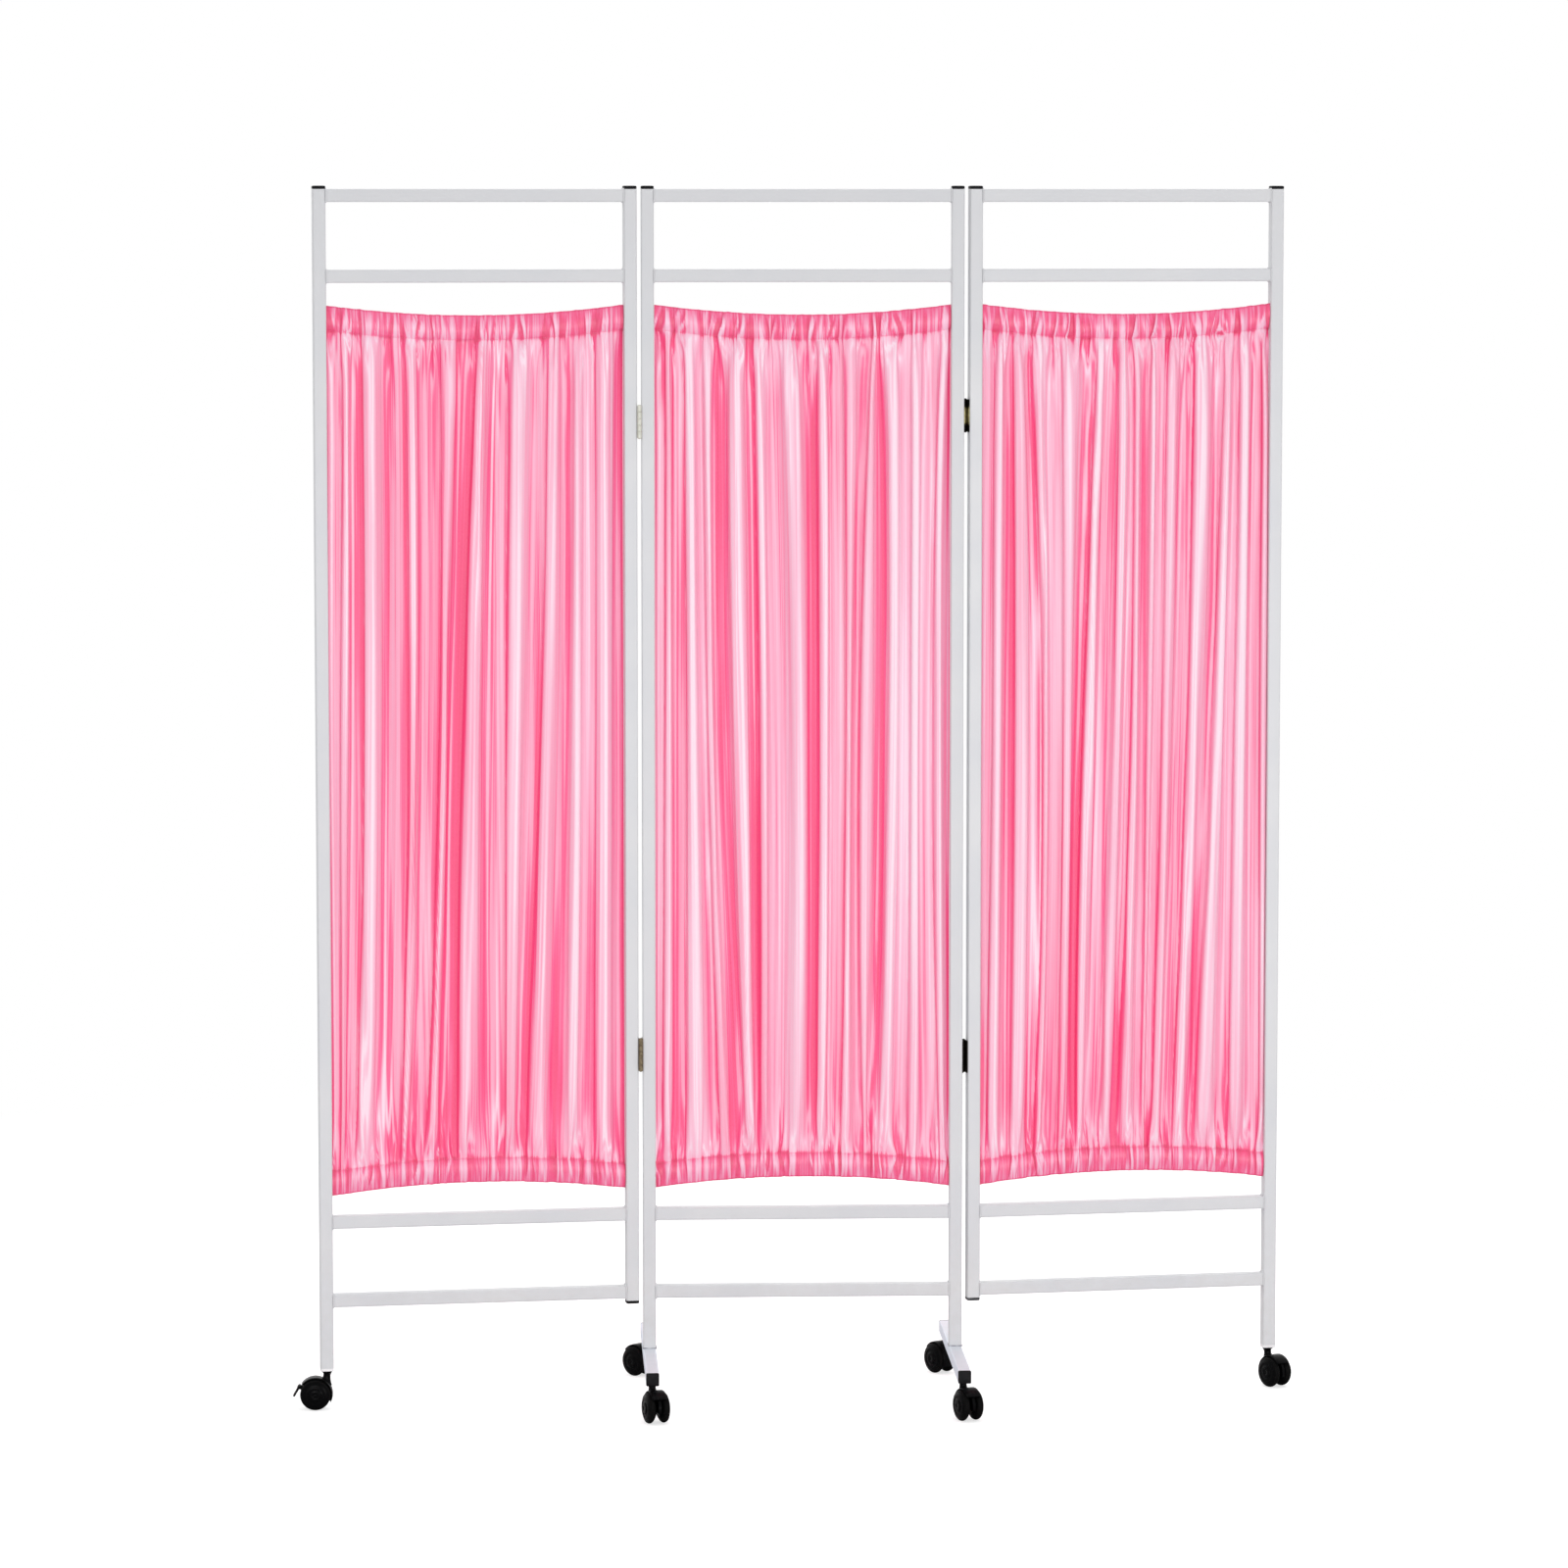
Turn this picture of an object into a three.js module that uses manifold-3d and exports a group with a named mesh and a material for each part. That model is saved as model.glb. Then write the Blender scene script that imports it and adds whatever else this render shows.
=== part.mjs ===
// Ward privacy screen on wheels: three hinged frames of square tube, each with a gathered curtain.
// Millimetres, +Z up, +Y away from the viewer, origin on the floor under the middle panel's centre.

import * as THREE from "three";
import { mergeVertices } from "three/addons/utils/BufferGeometryUtils.js";
import Module from "manifold-3d";

const { degToRad } = THREE.MathUtils;

// Whole screen
const overallHeight = 1800;
const panelWidth = 475;
const jointGap = 5.6;
const leftSwing = degToRad(7.3);
const rightSwing = degToRad(8.1);
const fitGap = 0.3;
const overrun = 1;

// Square tube and its plastic plugs
const tubeSide = 19;
const tubeWall = 1.2;
const tubeCorner = 2;
const plugHead = 4.5;
const plugSpigot = 14;
const plugBevel = 1;

// Rails, counted from the top of a panel to its bottom
const railPitch = 117;
const lowestRailHeight = 162;
const innerLegOverhang = 3.5;

// Cross feet under the middle panel
const footLength = 400;
const stemInset = 30;
const socketWall = 2.5;

// Socket inserts in the outer legs of the wings
const collarHeight = 4;
const insertDepth = 24;

// Curtain wires and their end ferrules
const wireRadius = 2;
const wireSag = 15;
const ferruleRadius = 3.6;
const ferruleLength = 5;

// Curtains
const curtainTopGap = 32.5;
const curtainBottomGap = 29;
const curtainSideGap = 1.5;
const casingHeight = 36;
const foldDepth = 8;
const casingWave = 1.2;
const seamWave = 2.6;
const foldSlant = 6;
const clothHalf = 1.7;
const casingHalf = 5.2;
const bodyRowShares = [0.1, 0.9];
const leftFoldShares = [0.01, 0.06, 0.12, 0.27, 0.38, 0.48, 0.59, 0.72, 0.81, 0.9, 0.98];
const middleFoldShares = [0.03, 0.08, 0.16, 0.22, 0.34, 0.4, 0.53, 0.63, 0.77, 0.88, 0.98];
const rightFoldShares = [0.04, 0.11, 0.2, 0.37, 0.47, 0.53, 0.67, 0.76, 0.92, 0.98];

// Butt hinges
const hingeHeight = 48;
const knuckleRadius = 3.25;
const knuckleCount = 5;
const knuckleGap = 0.4;
const pinRadius = 1.6;
const pinHead = 1.2;
const pinProud = 2;
const leafReach = 19;
const leafThickness = 1.2;
const leafCorner = 2;
const leftHingeHeights = { upper: 1455, lower: 518 };
const rightHingeHeights = { upper: 1463, lower: 511 };

// Twin-wheel casters
const wheelRadius = 22.5;
const wheelPairWidth = 37;
const axleRadius = 2.5;
const casterTrail = 17;
const webThickness = 4.4;
const wheelSideGap = 0.4;
const hoodClearance = 0.8;
const hoodWall = 1.8;
const hoodWidth = 23;
const hubRadius = 8;
const bossRadius = 7.5;
const neckRadius = 5.3;
const neckFlare = 2.6;
const neckRise = 9.17;
const stemRadius = 4;
const stemLength = 15.5;
const hoodTrailingEnd = degToRad(38);
const hoodLeadingEnd = degToRad(205);
const hubArcStart = degToRad(242);
const hubArcEnd = degToRad(325);
const skirtRadius = 21.2;
const skirtEnd = degToRad(-16);
const wheelProfileShares = [
  [0, 0.58],
  [0.2, 0.82],
  [0.45, 1],
  [0.62, 1],
  [0.8, 0.91],
  [0.93, 0.66],
  [0.93, 0.42],
  [1, 0.36],
  [1, 0],
];

// Brake lever of the left outer caster
const leverPivotAngle = degToRad(25);
const leverPivotRadius = 26.1;
const leverBarrel = 2.6;
const leverPin = 1.2;
const leverLength = 16;
const leverThickness = 2.2;
const leverWidth = 16;
const leverAngle = degToRad(-60);

// Facet counts
const cornerFacets = 1;
const boreSides = 12;
const hingeSides = 10;
const ferruleSides = 8;
const wireSides = 6;
const wireSteps = 8;
const wheelSides = 18;
const wellSides = 20;
const hoodFacets = 5;
const foldSamples = 4;
const mergeTolerance = 1e-4;

// Sizes that follow from the ones above
const tubeTop = overallHeight - plugHead - fitGap;
const wheelCorner = wheelRadius / Math.cos(Math.PI / wheelSides);
const wellRadius = (wheelCorner + hoodClearance) / Math.cos(Math.PI / wellSides);
const hoodRadius = wellRadius + hoodWall;
const seatHeight = wheelRadius + hoodRadius + neckRise;
const footTop = seatHeight + tubeSide;
const topRailHeight = tubeTop - tubeSide / 2;
const railHeights = {
  top: topRailHeight,
  second: topRailHeight - railPitch,
  third: lowestRailHeight + railPitch,
  lowest: lowestRailHeight,
};
const openingWidth = panelWidth - 2 * tubeSide;
const uprightPlace = (panelWidth - tubeSide) / 2;
const topWireHeight = railHeights.second - tubeSide / 2 - curtainTopGap - casingHeight / 2;
const bottomWireHeight = railHeights.third + tubeSide / 2 + curtainBottomGap + casingHeight / 2;
const curtainWidth = openingWidth - 2 * curtainSideGap;
const pinOffset = tubeSide / 2 + pinProud;
const hingePlace = (panelWidth + jointGap) / 2;
const wireBore = wireRadius + fitGap;

// Colours and finishes
const finish = (color, roughness, metalness) =>
  new THREE.MeshStandardMaterial({ color, roughness, metalness, flatShading: true });
const whitePaint = () => finish(0xdcdcde, 0.45, 0.1);
const blackPlastic = () => finish(0x151518, 0.5, 0);
const darkRubber = () => finish(0x101013, 0.75, 0);
const coatedWire = () => finish(0xe6e6e2, 0.5, 0.2);
const pinkSatin = () => finish(0xff8fb2, 0.4, 0);
const paintedHinge = () => finish(0xd9dacd, 0.5, 0.2);
const bronzeHinge = () => finish(0x736a50, 0.45, 0.8);
const brassHinge = () => finish(0x8a8252, 0.4, 0.9);
const darkHinge = () => finish(0x1c1712, 0.5, 0.6);

const wasm = await Module();
wasm.setup();

/** Makes a closed geometry a solid that can be joined and cut. */
function toSolid(geometry) {
  const bare = geometry.clone();
  bare.deleteAttribute("normal");
  bare.deleteAttribute("uv");
  const merged = mergeVertices(bare, mergeTolerance);
  const vertProperties = new Float32Array(merged.getAttribute("position").array);
  const triVerts = new Uint32Array(merged.getIndex().array);
  return new wasm.Manifold(new wasm.Mesh({ numProp: 3, vertProperties, triVerts }));
}

/** Makes a solid a geometry again. */
function toGeometry(solid) {
  const { vertProperties, triVerts } = solid.getMesh();
  const geometry = new THREE.BufferGeometry();
  geometry.setAttribute("position", new THREE.BufferAttribute(vertProperties, 3));
  geometry.setIndex(new THREE.BufferAttribute(triVerts, 1));
  geometry.computeVertexNormals();
  return geometry;
}

/** A named mesh of a geometry. */
function namedMesh(name, geometry, material) {
  const mesh = new THREE.Mesh(geometry, material);
  mesh.name = name;
  return mesh;
}

/** A square outline with round corners, centred on zero. */
function roundedSquare(side, corner) {
  const half = side / 2;
  const inset = half - corner;
  const outline = new THREE.Shape();
  outline.absarc(inset, inset, corner, 0, Math.PI / 2);
  outline.absarc(-inset, inset, corner, Math.PI / 2, Math.PI);
  outline.absarc(-inset, -inset, corner, Math.PI, (3 * Math.PI) / 2);
  outline.absarc(inset, -inset, corner, (3 * Math.PI) / 2, 2 * Math.PI);
  outline.closePath();
  return outline;
}

/** A length of the square tube, open at both ends, from zero along +Z. */
function tubeGeometry(length) {
  const outline = roundedSquare(tubeSide, tubeCorner);
  const innerCorner = Math.max(tubeCorner - tubeWall, tubeWall / 4);
  outline.holes.push(roundedSquare(tubeSide - 2 * tubeWall, innerCorner));
  return new THREE.ExtrudeGeometry(outline, {
    depth: length,
    bevelEnabled: false,
    curveSegments: cornerFacets,
  });
}

/** A solid square bar with round corners, from zero along +Z. */
function barGeometry(side, corner, length) {
  return new THREE.ExtrudeGeometry(roundedSquare(side, corner), {
    depth: length,
    bevelEnabled: false,
    curveSegments: cornerFacets,
  });
}

/** A round rod centred on zero along an axis named "x", "y" or "z". */
function rodGeometry(radius, length, axis, sides = boreSides) {
  const rod = new THREE.CylinderGeometry(radius, radius, length, sides);
  if (axis === "x") {
    rod.rotateZ(Math.PI / 2);
  }
  if (axis === "z") {
    rod.rotateX(Math.PI / 2);
  }
  return rod;
}

/** Cuts the two holes through which the curtain wires leave an upright; side is the wall's sign in x. */
function cutWireHoles(upright, side) {
  let cut = upright;
  for (const height of [topWireHeight, bottomWireHeight]) {
    const hole = rodGeometry(wireBore + fitGap, tubeWall + 2 * overrun, "x");
    hole.translate(side * (tubeSide - tubeWall) / 2, 0, height);
    cut = cut.subtract(toSolid(hole));
  }
  return cut;
}

/** A wing's inner leg, which ends just under the lowest rail. */
function innerLegGeometry(side) {
  const bottom = lowestRailHeight - tubeSide / 2 - innerLegOverhang;
  const tube = tubeGeometry(tubeTop - bottom).translate(0, 0, bottom);
  return toGeometry(cutWireHoles(toSolid(tube), side));
}

/** A wing's outer leg with the socket insert that is pressed into its lower end. */
function outerLegGeometry(side) {
  const tubeBottom = seatHeight + collarHeight;
  const tube = tubeGeometry(tubeTop - tubeBottom).translate(0, 0, tubeBottom);
  const collar = barGeometry(tubeSide, tubeCorner, collarHeight).translate(0, 0, seatHeight);
  const core = barGeometry(tubeSide - tubeWall, tubeCorner, insertDepth).translate(0, 0, seatHeight);
  const boreLength = stemLength + overrun;
  const bore = rodGeometry(stemRadius + fitGap + fitGap / 2, 2 * boreLength, "z");
  bore.translate(0, 0, seatHeight);
  const leg = toSolid(tube).add(toSolid(collar)).add(toSolid(core)).subtract(toSolid(bore));
  return toGeometry(cutWireHoles(leg, side));
}

/** A middle upright welded on its cross foot, with the foot's two caster sockets. */
function standGeometry(side) {
  const uprightBottom = footTop - tubeWall / 2;
  const upright = tubeGeometry(tubeTop - uprightBottom).translate(0, 0, uprightBottom);
  const foot = tubeGeometry(footLength).rotateX(Math.PI / 2);
  foot.translate(0, footLength / 2, seatHeight + tubeSide / 2);
  let stand = toSolid(foot).add(toSolid(upright));
  const sleeveLength = tubeSide - tubeWall;
  const boreRadius = stemRadius + fitGap + fitGap / 2;
  for (const end of [-1, 1]) {
    const place = end * (footLength / 2 - stemInset);
    const sleeve = rodGeometry(boreRadius + socketWall, sleeveLength, "z");
    sleeve.translate(0, place, seatHeight + tubeSide / 2);
    const bore = rodGeometry(boreRadius, 2 * (stemLength + fitGap), "z");
    bore.translate(0, place, seatHeight);
    stand = stand.add(toSolid(sleeve)).subtract(toSolid(bore));
  }
  return toGeometry(cutWireHoles(stand, side));
}

/** A rail between two uprights, centred on zero along X. */
function railGeometry() {
  const length = openingWidth - 2 * fitGap;
  return tubeGeometry(length).rotateY(Math.PI / 2).translate(-length / 2, 0, 0);
}

/** A tube plug that points up: its head stands on zero and its spigot hangs below. */
function plugGeometry() {
  const headFace = roundedSquare(tubeSide - 2 * plugBevel, tubeCorner - plugBevel / 2);
  const head = new THREE.ExtrudeGeometry(headFace, {
    depth: plugHead - 2 * plugBevel,
    bevelThickness: plugBevel,
    bevelSize: plugBevel,
    bevelSegments: 1,
    curveSegments: cornerFacets,
  });
  head.translate(0, 0, plugBevel);
  const spigotSide = tubeSide - 2 * tubeWall - 2 * fitGap;
  const spigotLength = plugSpigot + plugBevel;
  const spigot = barGeometry(spigotSide, tubeCorner / 2, spigotLength).translate(0, 0, -plugSpigot);
  return toGeometry(toSolid(head).add(toSolid(spigot)));
}

/** How far a wire hangs from its ends' height at a place across the opening. */
function sagAt(x) {
  return wireSag * (1 - (2 * x / openingWidth) ** 2);
}

/** The line of a curtain wire; toMiddle is -1 where it bends down and 1 where it bends up. */
class WireLine extends THREE.Curve {
  constructor(halfLength, toMiddle) {
    super();
    this.halfLength = halfLength;
    this.toMiddle = toMiddle;
  }

  getPoint(t, target = new THREE.Vector3()) {
    const x = this.halfLength * (2 * t - 1);
    return target.set(x, 0, this.toMiddle * sagAt(x));
  }
}

/** A rod along a wire's line, used for the wire and for its bore in the casing. */
function alongWire(radius, toMiddle) {
  const section = new THREE.Shape();
  for (let k = 0; k < wireSides; k += 1) {
    const angle = (2 * Math.PI * k) / wireSides;
    const corner = new THREE.Vector2(Math.cos(angle), Math.sin(angle)).multiplyScalar(radius);
    if (k === 0) {
      section.moveTo(corner.x, corner.y);
    } else {
      section.lineTo(corner.x, corner.y);
    }
  }
  section.closePath();
  const halfLength = openingWidth / 2 + tubeWall + fitGap + ferruleLength / 2;
  return new THREE.ExtrudeGeometry(section, {
    steps: wireSteps,
    extrudePath: new WireLine(halfLength, toMiddle),
    bevelEnabled: false,
  });
}

/** A curtain wire with the ferrule that stops it behind each upright's wall. */
function wireGeometry(toMiddle) {
  let wire = toSolid(alongWire(wireRadius, toMiddle));
  const place = openingWidth / 2 + tubeWall + fitGap + ferruleLength / 2;
  for (const end of [-1, 1]) {
    const ferrule = rodGeometry(ferruleRadius, ferruleLength, "x", ferruleSides);
    ferrule.translate(end * place, 0, toMiddle * sagAt(place));
    wire = wire.add(toSolid(ferrule));
  }
  return toGeometry(wire);
}

/** The folds as seen from above, from -1 in a dark furrow to 1 on a crest, at a share of the width. */
function foldWave(share, foldShares) {
  const first = foldShares[0];
  const last = foldShares[foldShares.length - 1];
  const furrows = [-first - (1 - last), ...foldShares, 2 - last + first];
  const next = furrows.findIndex((furrow) => furrow > share);
  const start = furrows[next - 1];
  return -Math.cos((2 * Math.PI * (share - start)) / (furrows[next] - start));
}

/** The shares of the width at which the cloth's columns stand. */
function foldColumns(foldShares) {
  const columns = [0];
  foldShares.forEach((furrow, k) => {
    columns.push(furrow);
    const next = foldShares[k + 1];
    if (next !== undefined) {
      for (let step = 1; step < foldSamples; step += 1) {
        columns.push(furrow + ((next - furrow) * step) / foldSamples);
      }
    }
  });
  columns.push(1);
  return columns;
}

/** The cloth's rows from hem to heading: height above the bottom wire's ends, half thickness and wave. */
function curtainRows() {
  const half = casingHeight / 2;
  const span = topWireHeight - bottomWireHeight;
  const low = (lift) => (x) => lift + sagAt(x);
  const high = (lift) => (x) => span + lift - sagAt(x);
  const hem = [
    { height: low(-half), thick: clothHalf, wave: seamWave },
    { height: low(0), thick: casingHalf, wave: casingWave },
    { height: low(half), thick: clothHalf, wave: seamWave },
  ];
  const body = bodyRowShares.map((share) => ({
    height: (x) => THREE.MathUtils.lerp(low(half)(x), high(-half)(x), share),
    thick: clothHalf,
    wave: foldDepth,
  }));
  const heading = [
    { height: high(-half), thick: clothHalf, wave: seamWave },
    { height: high(0), thick: casingHalf, wave: casingWave },
    { height: high(half), thick: clothHalf, wave: seamWave },
  ];
  return [...hem, ...body, ...heading];
}

/** One closed skin of cloth over its rows and columns; zero is the height of the bottom wire's ends. */
function clothGeometry(foldShares) {
  const columns = foldColumns(foldShares);
  const rows = curtainRows();
  const wide = columns.length;
  const positions = [];
  for (const face of [-1, 1]) {
    rows.forEach((row, r) => {
      const rise = r / (rows.length - 1) - 1 / 2;
      for (const share of columns) {
        const slant = foldSlant * rise * 4 * share * (1 - share);
        const x = curtainWidth * (share - 1 / 2) + slant;
        positions.push(x, face * row.thick - row.wave * foldWave(share, foldShares), row.height(x));
      }
    });
  }
  const back = wide * rows.length;
  const faces = [];
  const quad = (a, b, c, d) => faces.push(a, b, c, a, c, d);
  for (let r = 0; r < rows.length - 1; r += 1) {
    for (let k = 0; k < wide - 1; k += 1) {
      const low = r * wide + k;
      const high = low + wide;
      quad(low, low + 1, high + 1, high);
      quad(back + low + 1, back + low, back + high, back + high + 1);
    }
    const left = r * wide;
    const right = left + wide - 1;
    quad(back + left, left, left + wide, back + left + wide);
    quad(right, back + right, back + right + wide, right + wide);
  }
  const top = back - wide;
  for (let k = 0; k < wide - 1; k += 1) {
    quad(back + k, back + k + 1, k + 1, k);
    quad(top + k, top + k + 1, back + top + k + 1, back + top + k);
  }
  const geometry = new THREE.BufferGeometry();
  geometry.setAttribute("position", new THREE.Float32BufferAttribute(positions, 3));
  geometry.setIndex(faces);
  return geometry;
}

/** A curtain with its folds and the two casings that the wires run through. */
function curtainGeometry(foldShares) {
  const lowBore = alongWire(wireBore + fitGap / 2, 1);
  const highBore = alongWire(wireBore + fitGap / 2, -1).translate(0, 0, topWireHeight - bottomWireHeight);
  const cloth = toSolid(clothGeometry(foldShares));
  return toGeometry(cloth.subtract(toSolid(lowBore)).subtract(toSolid(highBore)));
}

/** The lower end of one knuckle above the hinge's lower end. */
function knuckleBase(index) {
  return (index * (hingeHeight + knuckleGap)) / knuckleCount;
}

/** A hinge leaf whose pin stands on zero. The even leaf holds the pin and every other knuckle. */
function leafGeometry(side, even) {
  const knuckleHeight = knuckleBase(1) - knuckleGap;
  const plateCentre = side * (jointGap / 2 - fitGap - leafThickness / 2);
  const outline = new THREE.Shape();
  outline.moveTo(0, 0);
  outline.lineTo(leafReach - leafCorner, 0);
  outline.absarc(leafReach - leafCorner, leafCorner, leafCorner, -Math.PI / 2, 0);
  outline.absarc(leafReach - leafCorner, hingeHeight - leafCorner, leafCorner, 0, Math.PI / 2);
  outline.lineTo(0, hingeHeight);
  outline.closePath();
  const plate = new THREE.ExtrudeGeometry(outline, {
    depth: leafThickness,
    bevelEnabled: false,
    curveSegments: cornerFacets,
  });
  plate.rotateX(Math.PI / 2).rotateZ(Math.PI / 2);
  plate.translate(plateCentre - leafThickness / 2, 0, -hingeHeight / 2);
  let leaf = toSolid(plate);
  for (let k = 0; k < knuckleCount; k += 1) {
    const own = (k % 2 === 0) === even;
    const centre = knuckleBase(k) + knuckleHeight / 2 - hingeHeight / 2;
    const radius = own ? knuckleRadius : knuckleRadius + knuckleGap;
    const height = own ? knuckleHeight : knuckleHeight + 2 * knuckleGap;
    const knuckle = toSolid(rodGeometry(radius, height, "z", hingeSides).translate(0, 0, centre));
    leaf = own ? leaf.add(knuckle) : leaf.subtract(knuckle);
  }
  if (even) {
    const pin = rodGeometry(pinRadius, hingeHeight + 2 * pinHead, "z", hingeSides);
    return toGeometry(leaf.add(toSolid(pin)));
  }
  const bore = rodGeometry(pinRadius + knuckleGap, hingeHeight, "z", hingeSides);
  return toGeometry(leaf.subtract(toSolid(bore)));
}

/** Two domed wheels on one axle, centred on zero with the axle along Y and a flat facet below. */
function wheelPairGeometry() {
  const innerFace = webThickness / 2 + wheelSideGap;
  const outerFace = wheelPairWidth / 2;
  const outer = wheelProfileShares.map(
    ([across, radial]) =>
      new THREE.Vector2(wheelCorner * radial, innerFace + across * (outerFace - innerFace)),
  );
  const half = [new THREE.Vector2(axleRadius, innerFace), ...outer];
  const mirrored = half.map((point) => new THREE.Vector2(point.x, -point.y)).reverse();
  return new THREE.LatheGeometry([...mirrored, ...half], wheelSides).rotateY(Math.PI / wheelSides);
}

/** A point at an angle and radius round the wheel's centre, in the plane of the wheel. */
function roundWheel(radius, angle) {
  return new THREE.Vector2(radius * Math.cos(angle), radius * Math.sin(angle));
}

/** An outline in the plane of the wheel, made a slab across the axle. */
function acrossAxle(outline, width) {
  const slab = new THREE.ExtrudeGeometry(outline, {
    depth: width,
    bevelEnabled: false,
    curveSegments: hoodFacets,
  });
  return slab.translate(0, 0, -width / 2).rotateX(Math.PI / 2);
}

/** The side view of a caster's hood and of the web, whose skirt reaches down between the wheels. */
function hoodOutline() {
  const outline = new THREE.Shape();
  outline.absarc(0, 0, hoodRadius, hoodTrailingEnd, hoodLeadingEnd);
  outline.absarc(0, 0, hubRadius, hubArcStart, hubArcEnd);
  outline.absarc(0, 0, skirtRadius, skirtEnd, hoodTrailingEnd);
  outline.closePath();
  return outline;
}

/** The bar and eye on the web that carry the brake lever's pin. */
function brakeEar() {
  const eye = roundWheel(leverPivotRadius, leverPivotAngle);
  const bar = new THREE.BoxGeometry(leverPivotRadius, webThickness, 2 * leverBarrel);
  bar.translate(leverPivotRadius / 2, 0, 0).rotateY(-leverPivotAngle);
  const round = rodGeometry(leverBarrel, webThickness, "y").translate(eye.x, 0, eye.y);
  const hole = rodGeometry(leverPin + fitGap, webThickness + 2 * overrun, "y");
  hole.translate(eye.x, 0, eye.y);
  return { ear: toSolid(bar).add(toSolid(round)), hole: toSolid(hole) };
}

/** The waisted neck between a caster's hood and its seat, round the stem's axis. */
function neckGeometry(foot, top) {
  const profile = [
    new THREE.Vector2(0, foot),
    new THREE.Vector2(bossRadius, foot),
    new THREE.Vector2(neckRadius, hoodRadius),
    new THREE.Vector2(neckRadius, top - neckFlare),
    new THREE.Vector2(bossRadius, top),
    new THREE.Vector2(0, top),
  ];
  return new THREE.LatheGeometry(profile, boreSides).rotateX(Math.PI / 2);
}

/** A caster's housing: hood, web, hub, neck and stem, with the stem's axis on zero. */
function housingGeometry(withBrake) {
  const bossTop = seatHeight - fitGap - wheelRadius;
  const boss = neckGeometry(hoodRadius / 2, bossTop).translate(-casterTrail, 0, 0);
  let housing = toSolid(acrossAxle(hoodOutline(), hoodWidth)).add(toSolid(boss));
  for (const side of [-1, 1]) {
    const well = rodGeometry(wellRadius, hoodWidth, "y", wellSides);
    well.translate(0, side * (webThickness + hoodWidth) / 2, 0);
    housing = housing.subtract(toSolid(well));
  }
  const stem = rodGeometry(stemRadius, stemLength + 2 * overrun, "z");
  stem.translate(-casterTrail, 0, bossTop + (stemLength + fitGap - 2 * overrun) / 2);
  const bore = rodGeometry(axleRadius + fitGap, webThickness + 2 * overrun, "y");
  housing = housing.add(toSolid(stem));
  if (withBrake) {
    const { ear, hole } = brakeEar();
    housing = housing.add(ear).subtract(hole);
  }
  housing = housing.subtract(toSolid(bore));
  return toGeometry(housing).translate(casterTrail, 0, wheelRadius);
}

/** The brake lever in the place where it presses on the wheels' treads. */
function leverGeometry() {
  const pedal = new THREE.BoxGeometry(leverLength, leverWidth, leverThickness);
  pedal.translate(leverLength / 2, 0, 0).rotateY(-leverAngle);
  const slotWidth = webThickness + 2 * fitGap;
  const slot = rodGeometry(leverBarrel + 2 * fitGap, slotWidth, "y", wheelSides);
  let lever = toSolid(rodGeometry(leverBarrel, leverWidth, "y")).add(toSolid(pedal));
  lever = lever.subtract(toSolid(slot)).add(toSolid(rodGeometry(leverPin, leverWidth, "y")));
  return toGeometry(lever);
}

/** A caster on the floor with its stem on zero; heading is the way that its wheels trail. */
function buildCaster(name, heading, withBrake = false) {
  const caster = new THREE.Group();
  caster.rotation.z = heading;
  caster.add(namedMesh(`${name}_housing`, housingGeometry(withBrake), blackPlastic()));
  const wheels = namedMesh(`${name}_wheels`, wheelPairGeometry(), darkRubber());
  wheels.position.set(casterTrail, 0, wheelRadius);
  caster.add(wheels);
  if (withBrake) {
    const eye = roundWheel(leverPivotRadius, leverPivotAngle);
    const lever = namedMesh(`${name}_brake_lever`, leverGeometry(), blackPlastic());
    lever.position.set(casterTrail + eye.x, 0, wheelRadius + eye.y);
    caster.add(lever);
  }
  return caster;
}

/** What every panel has: four rails, a curtain on two wires and a plug on each upright. */
function buildPanelParts(panel, name, foldShares) {
  for (const [rail, height] of Object.entries(railHeights)) {
    const mesh = namedMesh(`${name}_rail_${rail}`, railGeometry(), whitePaint());
    mesh.position.z = height;
    panel.add(mesh);
  }
  const curtain = namedMesh(`${name}_curtain`, curtainGeometry(foldShares), pinkSatin());
  curtain.position.z = bottomWireHeight;
  panel.add(curtain);
  const topWire = namedMesh(`${name}_wire_top`, wireGeometry(-1), coatedWire());
  topWire.position.z = topWireHeight;
  const bottomWire = namedMesh(`${name}_wire_bottom`, wireGeometry(1), coatedWire());
  bottomWire.position.z = bottomWireHeight;
  panel.add(topWire, bottomWire);
  for (const [end, side] of [["left", -1], ["right", 1]]) {
    const plug = namedMesh(`${name}_plug_${end}`, plugGeometry(), blackPlastic());
    plug.position.set(side * uprightPlace, 0, tubeTop + fitGap);
    panel.add(plug);
  }
}

/** The two leaves of one hinge, on the middle panel and on a wing whose zero is the pin. */
function addHinge(middle, wing, name, pin, height, material) {
  const turned = pin.y > 0 ? Math.PI : 0;
  const fixed = namedMesh(`${name}_fixed_leaf`, leafGeometry(1, true), material());
  fixed.position.set(pin.x, pin.y, height);
  fixed.rotation.z = turned;
  middle.add(fixed);
  const moving = namedMesh(`${name}_wing_leaf`, leafGeometry(-1, false), material());
  moving.position.z = height;
  moving.rotation.z = turned;
  wing.add(moving);
}

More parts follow.
